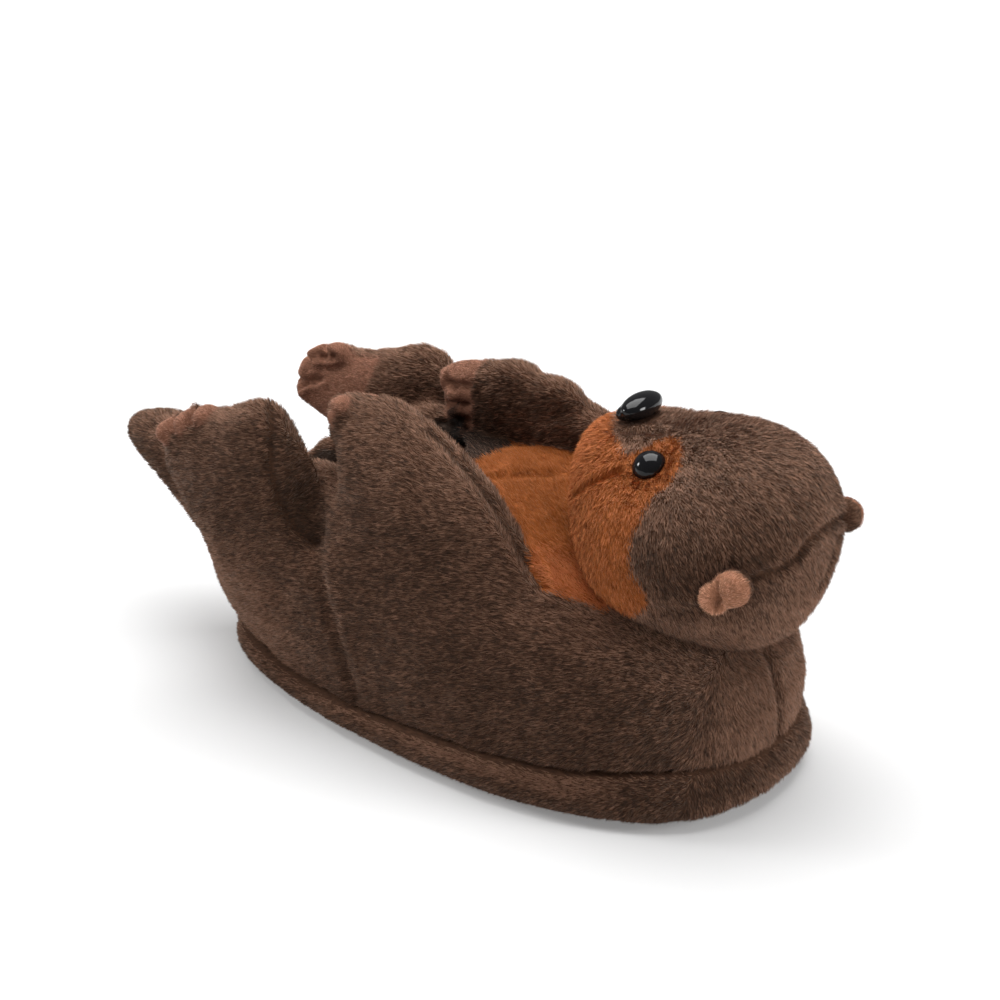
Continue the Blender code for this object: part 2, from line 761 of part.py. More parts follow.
def main():
    clear_scene()
    parts = new_collection("otter_slipper")
    cutters = new_collection("cutters")
    brown = make_material("brown_plush", BROWN, 0.95)
    orange = make_material("orange_plush", ORANGE, 0.95)
    rust = make_material("rust_plush", RUST, 0.95)
    peach = make_material("peach_plush", PEACH, 0.95)
    black = make_material("black_plastic", BLACK, 0.12)
    lining = make_material("lining_plush", LINING, 0.95)
    grip = make_material("grip_cloth", GRIP, 0.8)

    make_outsole(grip, parts)
    make_platform(brown, parts)
    make_upper(brown, parts)
    make_insole(lining, parts)
    envelope = make_envelope(cutters)
    head_room = make_head(brown, parts, cutters, envelope)
    belly_room = make_belly(orange, parts, cutters, head_room)
    arm_sizes = (
        ARM_BACK_X, ARM_TOP_Z, ARM_LENGTH, ARM_HEIGHT, ARM_THICKNESS, ARM_SPACING, ARM_LEAN,
        ARM_TOE_IN, LEFT_ARM_DROP, LEFT_ARM_TILT,
    )
    leg_sizes = (
        LEG_BACK_X, LEG_TOP_Z, LEG_LENGTH, LEG_HEIGHT, LEG_THICKNESS, LEG_SPACING, LEG_LEAN,
        LEG_TOE_IN, LEFT_LEG_DROP, LEFT_LEG_TILT,
    )
    right_arm_rows = [RIGHT_WRIST.get(i, row) for i, row in enumerate(ARM_ROWS)]
    make_limb_pair(
        ("arm", "paw"), (right_arm_rows, ARM_ROWS), arm_sizes, (PAW_LENGTH, PAW_HEIGHT),
        (brown, rust), parts, cutters, (envelope, head_room, belly_room),
    )
    left_leg_rows = [LEFT_ANKLE.get(i, row) for i, row in enumerate(LEG_ROWS)]
    make_limb_pair(
        ("leg", "foot"), (LEG_ROWS, left_leg_rows), leg_sizes, (FOOT_LENGTH, FOOT_HEIGHT),
        (brown, rust), parts, cutters, (envelope,),
    )
    make_tail(brown, parts, envelope)
    make_face(black, parts, head_room)
    make_ears(peach, parts, head_room)


main()
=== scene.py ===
"""Looks of the plush otter slipper: one sewn and stuffed skin over the frame's solids, and its pile.

The slipper's toe points to +X, the floor is at Z = 0, and the side in the photograph is -Y.
Lengths are in metres. Places in the tables below are in millimetres, in the frame's own axes.
"""

import json
import math
from collections import namedtuple

import bmesh
import bpy
import numpy as np
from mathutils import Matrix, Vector, noise
from mathutils.bvhtree import BVHTree

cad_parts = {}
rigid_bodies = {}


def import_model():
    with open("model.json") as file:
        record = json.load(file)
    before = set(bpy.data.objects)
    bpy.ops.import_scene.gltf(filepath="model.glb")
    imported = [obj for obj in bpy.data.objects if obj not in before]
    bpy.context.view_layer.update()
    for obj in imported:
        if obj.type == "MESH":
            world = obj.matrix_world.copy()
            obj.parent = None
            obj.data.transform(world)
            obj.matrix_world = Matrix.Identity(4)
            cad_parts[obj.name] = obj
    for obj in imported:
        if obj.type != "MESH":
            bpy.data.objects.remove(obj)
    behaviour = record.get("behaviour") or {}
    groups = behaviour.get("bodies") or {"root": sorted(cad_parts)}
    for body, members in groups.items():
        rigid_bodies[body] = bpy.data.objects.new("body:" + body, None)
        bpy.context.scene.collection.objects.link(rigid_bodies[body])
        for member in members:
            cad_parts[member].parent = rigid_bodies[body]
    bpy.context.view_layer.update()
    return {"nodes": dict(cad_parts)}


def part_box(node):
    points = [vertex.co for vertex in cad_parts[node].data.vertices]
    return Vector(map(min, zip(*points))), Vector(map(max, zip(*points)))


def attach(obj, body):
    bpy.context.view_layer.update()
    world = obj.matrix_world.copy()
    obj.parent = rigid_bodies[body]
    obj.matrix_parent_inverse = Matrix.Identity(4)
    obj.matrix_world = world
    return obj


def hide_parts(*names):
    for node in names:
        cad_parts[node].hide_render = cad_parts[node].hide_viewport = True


bl_info = {
    "name": "Otter Slipper",
    "version": (1, 0, 0),
    "blender": (4, 5, 0),
    "location": "View3D > Sidebar > Slipper",
    "description": "Dresses the slipper's solids in plush, one operator for each piece",
    "category": "Add Mesh",
}

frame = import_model()

MM = 0.001
MERGE_DISTANCE = 0.01 * MM
SIDES = ((-1, "right"), (1, "left"))

# Camera: the photograph's viewing angle
CAMERA_AZIMUTH = 34.5
CAMERA_ELEVATION = 22.4
CAMERA_DISTANCE = 0.9
CAMERA_TARGET = (0.004, 0.0, 0.098)
CAMERA_LENS = 75.07

# Studio: the world's strength, and the soft lights overhead and on both sides. Their places are in
# metres to the camera's right, toward the camera and up, and their sizes in metres.
WORLD_LIGHT = 0.2
Light = namedtuple("Light", "name right front up size power")
LIGHTS = (
    Light("top_soft", 0.0, -0.25, 1.4, (1.5, 1.3), 33),
    Light("right_soft", 1.1, 0.35, 0.45, (0.35, 0.35), 5.5),
    Light("left_soft", -1.2, -0.2, 0.6, (0.3, 0.3), 6),
)
LIGHT_TARGET = (0.0, 0.0, 0.07)
FLOOR_REACH = 8.0

BODY_NODES = (
    "upper", "belly", "arm_right", "arm_left", "paw_right", "paw_left",
    "leg_right", "leg_left", "foot_right", "foot_left", "tail",
)

# The limbs with their inner panels, and the limbs alone
LIMB_NODES = BODY_NODES[2:10]
LIMBS = ("arm_right", "arm_left", "leg_right", "leg_left")

# Troughs that seams and soft creases leave in the skin. Depth and width are in millimetres, and
# bare is the half width that no hair grows on.
Seam = namedtuple("Seam", "depth width bare points")


def on_both_sides(depth, width, bare, *points):
    """A seam on the right and its mirror image on the left."""
    mirrored = tuple((x, -y, z) for x, y, z in points)
    return Seam(depth, width, bare, points), Seam(depth, width, bare, mirrored)


BODY_SEAMS = (
    # between the leg's panel and the flank, from the notch down to the band
    *on_both_sides(
        1.7, 3.4, 0.0, (-49, -60, 88), (-43, -66, 74), (-36, -67, 54), (-31, -66, 36), (-27, -65, 22)),
    # front edge of the leg's outer panel
    *on_both_sides(
        2.6, 1.7, 1.0, (-73, -58, 144), (-70, -61, 131), (-69, -62, 116), (-67, -62, 103),
        (-60, -61, 91), (-51, -60, 86)),
    # inner edge of the right arm, against the belly
    Seam(2.4, 2.2, 0.8, (
        (0, -42, 140), (9, -43, 136), (18, -45, 131), (27, -47, 125), (37, -49, 117), (47, -51, 108),
        (55, -53, 100), (64, -55, 92))),
    # middle of the toe, from the head down to the band
    Seam(2.2, 2.4, 0.9, ((141, 0, 68), (143, 0, 44), (143, 0, 22))),
    # fold across the belly
    Seam(1.6, 3.0, 0.0, ((4, -22, 112), (14, -4, 113), (27, 8, 113))),
)
# Depth, width and bare half width of the seams between toes or fingers, and of the grooves that run
# on from them over the pad's face, which lies this far from the middle
DIGIT_SEAM = (3.4, 1.4, 0.9)
GROOVE_SEAM = (2.8, 1.3, 0.8)
PAD_FACE = 33.0

# Side edge of the orange belly: distance from the middle along X, in millimetres
BELLY_EDGE_X = (0, 18, 37, 55, 64, 72, 90)
BELLY_EDGE_Y = (45, 46, 50, 54, 55, 54, 50)

# Valley between a leg and the flank: its depth, half width and line, in millimetres
VALLEY_DEPTH = 8.0
VALLEY_WIDTH = 8.5
VALLEY = ((-50, -58, 128), (-54, -60, 117), (-56, -60, 107), (-54, -60, 98), (-51, -60, 90))

# Rolls of stuffing that the fused skin takes in: centre and half sizes in millimetres
Roll = namedtuple("Roll", "x y z length width height sides")
ROLLS = (
    # edge of the opening between a leg and an arm
    Roll(-58, 42, 108, 17, 6.5, 7.5, (-1, 1)),
    # edge of the opening beside the heel
    Roll(-113, 30, 84, 9, 7, 10, (-1, 1)),
    # top of the left arm
    Roll(-14, 40, 138, 14, 8, 8.5, (1,)),
    Roll(4, 40, 134.5, 17, 8, 8.5, (1,)),
)

HEAD_SEAMS = (
    # crease from the cheek to each ear
    *on_both_sides(1.0, 2.0, 0.0, (109, -51, 96), (118, -49, 95), (128, -46, 98)),
    # across the crown
    Seam(2.4, 1.5, 0.9, (
        (142, -38, 110), (147, -33, 112), (152, -26, 114), (155, -20, 117), (157, -14, 122),
        (158, -3, 124), (157, 10, 123), (152, 26, 117), (146, 36, 111))),
    # down the crown, over that seam
    Seam(2.0, 2.0, 0.8, (
        (152, 16, 136), (154, 18, 127), (156, 15, 121), (158, 9, 111), (158, 3, 103), (156, -3, 96))),
    # the mouth's dart, from the muzzle up to the eye
    *on_both_sides(2.8, 1.7, 1.0, (66, -37, 128), (74, -39, 134), (80, -37, 138), (84, -33, 140)),
    # crease between the bridge of the nose and the brow
    *on_both_sides(2.2, 1.9, 0.8, (76, -15, 147), (84, -12, 147), (92, -11, 147)),
)

# Edge of the orange muzzle: distance along the head in millimetres, and degrees of turn round its
# long axis from the top
Edge = namedtuple("Edge", "x turn")
MUZZLE_EDGE = (
    Edge(20, 0), Edge(60, 0), Edge(62, 5), Edge(69, 21), Edge(76, 31), Edge(82, 38), Edge(85, 33),
    Edge(90, 26), Edge(95, 21), Edge(100, 22), Edge(105, 29), Edge(109, 39), Edge(108, 49),
    Edge(105, 57), Edge(103, 67), Edge(101, 76), Edge(101, 84), Edge(103, 90), Edge(107, 96),
    Edge(109, 104), Edge(102, 112), Edge(92, 120), Edge(60, 135), Edge(20, 180),
)
# Height of that long axis, and the millimetres that a degree of turn is taken to span
HEAD_AXIS_Z = 110
TURN_TO_MM = 0.87

# Toes of the feet and fingers of the paws on the right (-1) and the left (1): places of their
# middles in millimetres, and radius
Digit = namedtuple("Digit", "x y z radius")
DIGITS = {
    ("foot", -1): (
        Digit(-138, -53, 116.0, 6.0), Digit(-126, -53.5, 122.6, 6.0), Digit(-114, -53, 127.6, 6.0)),
    ("foot", 1): (
        Digit(-119, 44, 129.5, 5.5), Digit(-129, 44, 126, 5.5), Digit(-136, 44, 118.5, 5.5),
        Digit(-135, 43, 108, 6.5)),
    ("paw", -1): (Digit(-44, -47, 145, 4.4), Digit(-46, -47, 139, 4.2)),
    ("paw", 1): (
        Digit(-42, 40, 134.5, 5.4), Digit(-44, 39, 126, 5.6), Digit(-44, 39, 116, 5.4),
        Digit(-42, 39, 106, 5.4)),
}
# Distance of the edge between a limb's inner and outer panel from the middle, in millimetres
PANEL_EDGE = {("foot", -1): 47.0, ("foot", 1): 47.0, ("paw", -1): 38.0, ("paw", 1): 43.0}
# Grooves that part the toes and fingers, as lines of x, z on the face of the pad
GROOVES = {
    "foot": (
        ((-131, 134), (-124, 133), (-113.6, 129)), ((-136, 126), (-126, 127), (-116.7, 127)),
        ((-143, 112), (-134, 115), (-125, 119))),
    "paw": (
        ((-51, 130), (-41, 132), (-33, 133)), ((-52, 120), (-43, 122), (-35, 124)),
        ((-52, 112), (-44, 114), (-37, 115.5))),
}
# Corners in x, z of the panels of rust plush on the inner faces
RUST_PANELS = {
    "foot": (
        (-88, 150), (-93, 139), (-96, 126), (-99, 113), (-102, 94), (-128, 92), (-160, 104),
        (-160, 160)),
    "paw": (
        (-29, 155), (-31, 142), (-32, 132), (-31, 126), (-34, 116), (-36, 98), (-60, 98), (-60, 155)),
}

# Shades of the pile: strength of the base colour, the share of hairs up to and including it, and
# how far its colour fades to grey
Shade = namedtuple("Shade", "strength upto grey")
PILE_SHADES = (
    Shade(0.40, 0.30, -0.06), Shade(0.80, 0.62, 0.0), Shade(1.25, 0.88, 0.05),
    Shade(1.95, 1.0, 0.12),
)
# How much darker hairs get in a seam, and how far beyond its bare strip, in millimetres
SEAM_SHADOW = 0.95
SEAM_SHADE_REACH = 0.7
# Millimetres beyond the bare strip over which the hair grows thick again
SEAM_HAIR_FADE = 1.2
# Low rims beside a seam: their share of its depth, and their distance from it in its widths
RIM_SHARE = 0.3
RIM_DISTANCE = 2.2
# Depths inside another skin between which hair stops growing
BURIED = (-2.5 * MM, -0.5 * MM)
# Power that the strengths are raised to, above 1 for more contrast
PILE_CONTRAST = {"brown": 1.3, "orange": 0.5, "rust": 0.8, "peach": 0.6}
# Most that a hair's direction and its lift stray at random
STRAY = 0.22

# Pieces of pile: the skin that each grows on, the attribute that says where, its colour and random
# seed, and its length, density and sway as shares of the usual ones
Pile = namedtuple("Pile", "name skin where colour seed length density sway", defaults=(1.0, 1.0, 1.0))
PILES = (
    Pile("pile_front_right", "plush_body", "grow_front_right", "brown", 11),
    Pile("pile_front_left", "plush_body", "grow_front_left", "brown", 12, 1.0, 0.8),
    Pile("pile_back_right", "plush_body", "grow_back_right", "brown", 13),
    Pile("pile_back_left", "plush_body", "grow_back_left", "brown", 14, 1.0, 0.8),
    Pile("pile_belly", "plush_body", "grow_orange", "orange", 21),
    Pile("pile_pads", "plush_body", "grow_rust", "rust", 22),
    Pile("pile_collar", "plush_body", "grow_lining", "lining", 23, 1.0, 0.3),
    Pile("pile_crown", "plush_head", "grow_brown", "brown", 24),
    Pile("pile_muzzle", "plush_head", "grow_orange", "orange", 25, 0.85, 1.1, 0.7),
    Pile("pile_band", "plush_band", "grow", "brown", 26, 0.9),
    Pile("pile_insole", "plush_insole", "grow", "lining", 27, 1.0, 0.4),
    Pile("pile_ear_right", "plush_ear_right", "grow", "peach", 28),
    Pile("pile_ear_back_right", "plush_ear_right", "grow_back", "brown", 30),
    Pile("pile_ear_left", "plush_ear_left", "grow", "peach", 29),
    Pile("pile_ear_back_left", "plush_ear_left", "grow_back", "brown", 31),
)


def length_property(name, description, default, low, high):
    """A length, given in millimetres."""
    return bpy.props.FloatProperty(
        name=name, description=description, default=default * MM, min=low * MM, max=high * MM,
        unit="LENGTH")


def colour_property(name, description, default):
    return bpy.props.FloatVectorProperty(
        name=name, description=description, subtype="COLOR", size=3, min=0, max=1, default=default)


class OtterSizes(bpy.types.PropertyGroup):
    skin_detail: length_property("Skin detail", "Edge of the faces of the skins", 1.75, 1.2, 6)
    swell: length_property("Swell", "How far stuffing pushes the skin out from the solids", 0.2, 0, 3)
    lump_height: length_property("Lump height", "Height of the stuffing's soft unevenness", 0.8, 0, 3)
    lump_size: length_property("Lump size", "Size of the stuffing's soft unevenness", 28, 5, 80)
    pile_length: length_property("Pile length", "Length of the hairs of the plush", 2.7, 1, 8)
    pile_width: length_property("Pile width", "Width of a hair tuft at its root", 0.40, 0.1, 1.5)
    pile_count: bpy.props.FloatProperty(
        name="Pile count", description="Hair tufts on a square millimetre of skin",
        default=4.6, min=0.5, max=12)
    pile_lift: bpy.props.FloatProperty(
        name="Pile lift", description="Angle at which the hairs stand off the skin",
        default=math.radians(27), min=0, max=math.pi / 2, subtype="ANGLE", unit="ROTATION")
    pile_sway: bpy.props.FloatProperty(
        name="Pile sway", description="How much the hairs turn from the nap in swirls and tufts",
        default=0.7, min=0, max=3)
    lining_length: length_property("Lining pile length", "Length of the short pile inside", 1.8, 0.5, 5)
    dot_spacing: length_property("Dot spacing", "Distance between the sole's rubber dots", 7, 3, 20)
    dot_size: length_property("Dot size", "Width of a rubber dot", 3, 1, 6)


class OtterColours(bpy.types.PropertyGroup):
    brown: colour_property("Brown", "Back, limbs and crown", (0.121, 0.058, 0.033))
    orange: colour_property("Orange", "Muzzle and belly", (0.42, 0.115, 0.025))
    rust: colour_property("Rust", "Soles of the feet and paws", (0.27, 0.120, 0.073))
    peach: colour_property("Peach", "Ears", (0.50, 0.235, 0.135))
    lining: colour_property("Lining", "Inside of the foot space", (0.09, 0.058, 0.042))
    black: colour_property("Black", "Eyes and nose", (0.006, 0.006, 0.007))
    grip: colour_property("Grip", "Cloth under the sole", (0.045, 0.038, 0.033))
    floor: colour_property("Floor", "Studio floor", (0.62, 0.62, 0.62))


# Meshes


def link(item):
    bpy.context.scene.collection.objects.link(item)
    return item


def vertices_of(mesh):
    found = np.empty(len(mesh.vertices) * 3)
    mesh.vertices.foreach_get("co", found)
    return found.reshape(-1, 3)


def normals_of(mesh):
    found = np.empty(len(mesh.vertices) * 3)
    mesh.vertex_normals.foreach_get("vector", found)
    return found.reshape(-1, 3)


def move_vertices(mesh, places):
    mesh.vertices.foreach_set("co", np.ascontiguousarray(places, np.float32).ravel())
    mesh.update()


def node_mesh(name, swell=0.0):
    """A merged copy of a CAD node's mesh, pushed out along its normals by swell."""
    builder = bmesh.new()
    builder.from_mesh(frame["nodes"][name].data)
    bmesh.ops.remove_doubles(builder, verts=builder.verts, dist=MERGE_DISTANCE)
    mesh = bpy.data.meshes.new(f"{name}_copy")
    builder.to_mesh(mesh)
    builder.free()
    if swell:
        move_vertices(mesh, vertices_of(mesh) + normals_of(mesh) * swell)
    return mesh


def ball_mesh(centre, radii):
    builder = bmesh.new()
    bmesh.ops.create_icosphere(builder, subdivisions=3, radius=1)
    for vertex in builder.verts:
        vertex.co = Vector(centre) + Vector(vertex.co * Vector(radii))
    mesh = bpy.data.meshes.new("ball")
    builder.to_mesh(mesh)
    builder.free()
    return mesh


def fused(name, meshes, detail):
    """One closed skin round all these meshes, with faces of an even size."""
    builder = bmesh.new()
    for mesh in meshes:
        builder.from_mesh(mesh)
    joined = bpy.data.meshes.new(f"{name}_joined")
    builder.to_mesh(joined)
    builder.free()
    item = link(bpy.data.objects.new(name, joined))
    remesh = item.modifiers.new("Fuse", "REMESH")
    remesh.mode = "VOXEL"
    remesh.voxel_size = detail
    apply_modifiers(item)
    for mesh in meshes:
        bpy.data.meshes.remove(mesh)
    return item


def apply_modifiers(item):
    depsgraph = bpy.context.evaluated_depsgraph_get()
    mesh = bpy.data.meshes.new_from_object(item.evaluated_get(depsgraph))
    item.modifiers.clear()
    old, item.data = item.data, mesh
    bpy.data.meshes.remove(old)
    return item


class Skin:
    """A skin's vertices while it is shaped."""

    def __init__(self, item):
        self.item = item
        self.mesh = item.data
        self.places = vertices_of(self.mesh)
        edges = np.empty(len(self.mesh.edges) * 2, np.int64)
        self.mesh.edges.foreach_get("vertices", edges)
        edges = edges.reshape(-1, 2)
        self.ends = np.concatenate([edges, edges[:, ::-1]])
        self.degree = np.maximum(np.bincount(self.ends[:, 0], minlength=len(self.places)), 1)

    def around(self, values):
        """The mean of each vertex's neighbours."""
        count = len(self.places)
        start, end = self.ends.T
        if values.ndim == 1:
            return np.bincount(start, values[end], count) / self.degree
        columns = [np.bincount(start, column[end], count) / self.degree for column in values.T]
        return np.stack(columns, axis=1)

    def smooth(self, times, weight=1.0):
        weight = np.broadcast_to(weight, len(self.places))[:, None]
        for _ in range(times):
            self.places += (self.around(self.places) - self.places) * weight * 0.5

    def spread(self, values, times):
        for _ in range(times):
            values = 0.5 * values + 0.5 * self.around(values)
        return values

    def normals(self):
        move_vertices(self.mesh, self.places)
        return normals_of(self.mesh)

    def tree(self):
        move_vertices(self.mesh, self.places)
        return BVHTree.FromObject(self.item, bpy.context.evaluated_depsgraph_get())

    def write(self, **values):
        """Keeps the shape, and each named value as an attribute of the vertices."""
        move_vertices(self.mesh, self.places)
        for name, value in values.items():
            if value.ndim == 1:
                kind, field = "FLOAT", "value"
            elif value.shape[1] == 3:
                kind, field = "FLOAT_VECTOR", "vector"
            else:
                kind, field = "FLOAT_COLOR", "color"
            layer = self.mesh.attributes.new(name, kind, "POINT")
            layer.data.foreach_set(field, np.ascontiguousarray(value, np.float32).ravel())
        self.mesh.shade_smooth()


def eased(values, low, high):
    """0 below low, 1 above high, smooth between."""
    share = np.clip((values - low) / (high - low), 0, 1)
    return share * share * (3 - 2 * share)


def distance_to(tree, places, signed=False):
    """Distance of each place from a surface, below 0 inside it where signed."""
    found = np.empty(len(places))
    for i, place in enumerate(places):
        near, normal, _, distance = tree.find_nearest(place)
        inside = signed and (Vector(place) - near).dot(normal) < 0
        found[i] = -distance if inside else distance
    return found


def segment_gap(places, start, end):
    """Distance of each place from the straight line between two points."""
    along = end - start
    share = np.clip((places - start) @ along / max(along @ along, 1e-12), 0, 1)
    return np.linalg.norm(places - start - share[:, None] * along, axis=1)


def line_distance(places, points):
    """Distance of each place from a line through points."""
    found = np.full(len(places), np.inf)
    for start, end in zip(points, points[1:]):
        found = np.minimum(found, segment_gap(places, start, end))
    return found


def on_surface(tree, points, step=3 * MM):
    """A line through points in millimetres, laid on a surface."""
    points = np.array(points, float) * MM
    laid = []
    for start, end in zip(points, points[1:]):
        count = max(1, int(np.linalg.norm(end - start) / step))
        for share in np.arange(count) / count:
            laid.append(tree.find_nearest(start + (end - start) * share)[0])
    laid.append(tree.find_nearest(points[-1])[0])
    return np.array(laid)


def sew(skin, seams):
    """Presses the seams into the skin. Returns how freely hair grows, 0 in the seams, and how
    much the seams shade it."""
    tree = skin.tree()
    growth = np.ones(len(skin.places))
    shadow = np.zeros(len(skin.places))
    sunk = np.zeros(len(skin.places))
    for seam in seams:
        gap = line_distance(skin.places, on_surface(tree, seam.points)) / MM
        sunk += seam.depth * np.exp(-((gap / seam.width) ** 2))
        rim = (gap - RIM_DISTANCE * seam.width) / seam.width
        sunk -= RIM_SHARE * seam.depth * np.exp(-(rim ** 2))
        if seam.bare:
            growth = np.minimum(growth, eased(gap, seam.bare, seam.bare + SEAM_HAIR_FADE))
            shadow = np.maximum(shadow, np.exp(-((gap / (seam.bare + SEAM_SHADE_REACH)) ** 2)))
    skin.places -= skin.normals() * sunk[:, None] * MM
    return growth, shadow


def press_valleys(skin):
    """Presses the valley between leg and flank in on both sides, wall and lining together."""
    for side in (-1, 1):
        line = np.array(VALLEY, float) * (1, -side, 1) * MM
        gap = line_distance(skin.places, line) / MM
        deep = VALLEY_DEPTH * np.exp(-((gap / VALLEY_WIDTH) ** 2))
        skin.places[:, 1] -= side * deep * MM


def add_lumps(skin, height, size, amount=1.0):
    """Soft unevenness of the stuffing."""
    lumps = np.array([noise.noise(Vector(place) / size) for place in skin.places])
    skin.places += skin.normals() * (lumps * height * amount)[:, None]


def signed_to_polygon(points, corners):
    """Distance of plane points from a polygon's edge, above 0 inside."""
    edge = np.full(len(points), np.inf)
    inside = np.zeros(len(points), bool)
    x, y = points.T
    for start, end in zip(corners, np.roll(corners, -1, axis=0)):
        edge = np.minimum(edge, segment_gap(points, start, end))
        crosses = (start[1] > y) != (end[1] > y)
        with np.errstate(divide="ignore", invalid="ignore"):
            at = start[0] + (y - start[1]) / (end[1] - start[1]) * (end[0] - start[0])
        inside ^= crosses & (x < at)
    return np.where(inside, edge, -edge)


def along_skin(directions, normals):
    """Directions laid flat on the skin."""
    flat = directions - np.sum(directions * normals, axis=1, keepdims=True) * normals
    return flat / np.maximum(np.linalg.norm(flat, axis=1, keepdims=True), 1e-9)


def painted_light_share(normals):
    """Painted light on the pile: how much lighter it looks on what faces up or to the toe, where the
    light falls.
    """
    up = eased(normals[:, 2], 0.0, 0.85)
    ahead = eased(normals[:, 0], 0.7, 1.0)
    return 0.4 * np.maximum(up, ahead) - 0.08


def tint_of(weights, colours):
    """The mix of colours by weight, as a vertex colour."""
    total = sum(weights)[:, None]
    mixed = sum(w[:, None] * np.array(c[:3]) for w, c in zip(weights, colours)) / total
    return np.column_stack([mixed, np.ones(len(mixed))])


# Node trees


def add_node(tree, kind, inputs=None, **settings):
    """Adds a node. Inputs are given by name or number, each a value or another node's socket."""
    item = tree.nodes.new(kind)
    for key, value in settings.items():
        setattr(item, key, value)
    for key, value in (inputs or {}).items():
        socket = item.inputs[key]
        if isinstance(value, bpy.types.NodeSocket):
            tree.links.new(value, socket)
        else:
            socket.default_value = value
    return item


def maths(tree, operation, *values):
    inputs = dict(enumerate(values))
    return add_node(tree, "ShaderNodeMath", inputs, operation=operation).outputs[0]


def vectors(tree, operation, *values, scale=None):
    inputs = dict(enumerate(values))
    item = add_node(tree, "ShaderNodeVectorMath", inputs, operation=operation)
    if isinstance(scale, bpy.types.NodeSocket):
        tree.links.new(scale, item.inputs["Scale"])
    elif scale is not None:
        item.inputs["Scale"].default_value = scale
    return item.outputs["Value" if operation == "LENGTH" else "Vector"]


def add_sockets(tree, sockets):
    """Gives a geometry tree its geometry sockets and its named inputs."""
    tree.interface.new_socket("Geometry", in_out="INPUT", socket_type="NodeSocketGeometry")
    for name, kind in sockets:
        tree.interface.new_socket(name, in_out="INPUT", socket_type=f"NodeSocket{kind}")
    tree.interface.new_socket("Geometry", in_out="OUTPUT", socket_type="NodeSocketGeometry")
    return add_node(tree, "NodeGroupInput").outputs


def set_inputs(modifier, tree, values):
    """Sets a modifier's inputs, found by name, through their identifiers."""
    for socket in tree.interface.items_tree:
        if socket.in_out == "INPUT" and socket.name in values:
            modifier[socket.identifier] = values[socket.name]


def blade(tree, width, length):
    """One hair tuft: a triangle with its root at the origin and its tip up, facing X."""
    circle = add_node(
        tree, "GeometryNodeMeshCircle", {"Vertices": 3, "Radius": 1.0}, fill_type="NGON")
    rooted = add_node(
        tree, "GeometryNodeTransform",
        {"Geometry": circle.outputs[0], "Translation": (0.5, 0.0, 0.0)})
    size = add_node(
        tree, "ShaderNodeCombineXYZ",
        {"X": maths(tree, "DIVIDE", length, 1.5), "Y": maths(tree, "DIVIDE", width, math.sqrt(3)),
         "Z": 1.0})
    return add_node(
        tree, "GeometryNodeTransform",
        {"Geometry": rooted.outputs[0], "Rotation": (0.0, -math.pi / 2, 0.0),
         "Scale": size.outputs[0]}).outputs[0]


def stored(tree, name, kind="FLOAT"):
    """A value that the surface keeps under this name."""
    return add_node(
        tree, "GeometryNodeInputNamedAttribute", {"Name": name}, data_type=kind).outputs[0]


def noise_on_skin(tree, scale, detail, shift=0.0):
    """The outputs of smooth noise over the skin, moved along X by shift."""
    place = add_node(tree, "GeometryNodeInputPosition").outputs[0]
    if shift:
        place = vectors(tree, "ADD", place, (shift, 0.0, 0.0))
    return add_node(
        tree, "ShaderNodeTexNoise", {"Vector": place, "Scale": scale, "Detail": detail}).outputs


def swing(tree, value, amount):
    """A value from 0 to 1, made to swing round 0 by half the amount each way."""
    return maths(tree, "MULTIPLY", maths(tree, "SUBTRACT", value, 0.5), amount)


def swirl(tree, scale, shift, sway, amount):
    """A vector that changes smoothly over the skin, up to half of sway times amount each way."""
    turn = vectors(tree, "SUBTRACT", noise_on_skin(tree, scale, 0.0, shift)["Color"], (0.5,) * 3)
    return vectors(tree, "SCALE", turn, scale=maths(tree, "MULTIPLY", sway, amount))


def random_value(tree, low, high, seed, offset):
    return add_node(
        tree, "FunctionNodeRandomValue",
        {2: low, 3: high, "Seed": maths(tree, "ADD", seed, offset)}, data_type="FLOAT").outputs[1]


def hair_direction(tree, given, normal):
    """Where each hair points: along the nap, turned in broad swirls and small tufts, and lifted."""
    seed, sway = given["Seed"], given["Sway"]
    stray = add_node(
        tree, "FunctionNodeRandomValue", {0: (-STRAY,) * 3, 1: (STRAY,) * 3, "Seed": seed},
        data_type="FLOAT_VECTOR").outputs[0]
    flow = stored(tree, "nap", "FLOAT_VECTOR")
    for part in (swirl(tree, 60.0, 3.1, sway, 0.9), swirl(tree, 260.0, 7.7, sway, 1.1), stray):
        flow = vectors(tree, "ADD", flow, part)
    flow = vectors(tree, "NORMALIZE", flow)
    lift = maths(tree, "ADD", given["Lift"], random_value(tree, -STRAY, STRAY, seed, 1))
    lift = maths(tree, "ADD", lift, swing(tree, noise_on_skin(tree, 330.0, 0.0)[0], 0.9))
    return vectors(
        tree, "ADD", vectors(tree, "SCALE", flow, scale=maths(tree, "COSINE", lift)),
        vectors(tree, "SCALE", normal, scale=maths(tree, "SINE", lift)))


def hair_rotation(tree, direction, normal, seed):
    """The turn that brings a blade upright along the direction, its face about to the normal."""
    pointed = add_node(
        tree, "FunctionNodeAlignRotationToVector", {"Vector": direction}, axis="Z")
    facing = add_node(
        tree, "FunctionNodeAlignRotationToVector",
        {"Rotation": pointed.outputs[0], "Vector": normal}, axis="X", pivot_axis="Z")
    roll = add_node(
        tree, "FunctionNodeAxisAngleToRotation",
        {"Axis": (0.0, 0.0, 1.0), "Angle": random_value(tree, -0.7, 0.7, seed, 2)})
    return add_node(
        tree, "FunctionNodeRotateRotation",
        {"Rotation": facing.outputs[0], "Rotate By": roll.outputs[0]},
        rotation_space="LOCAL").outputs[0]


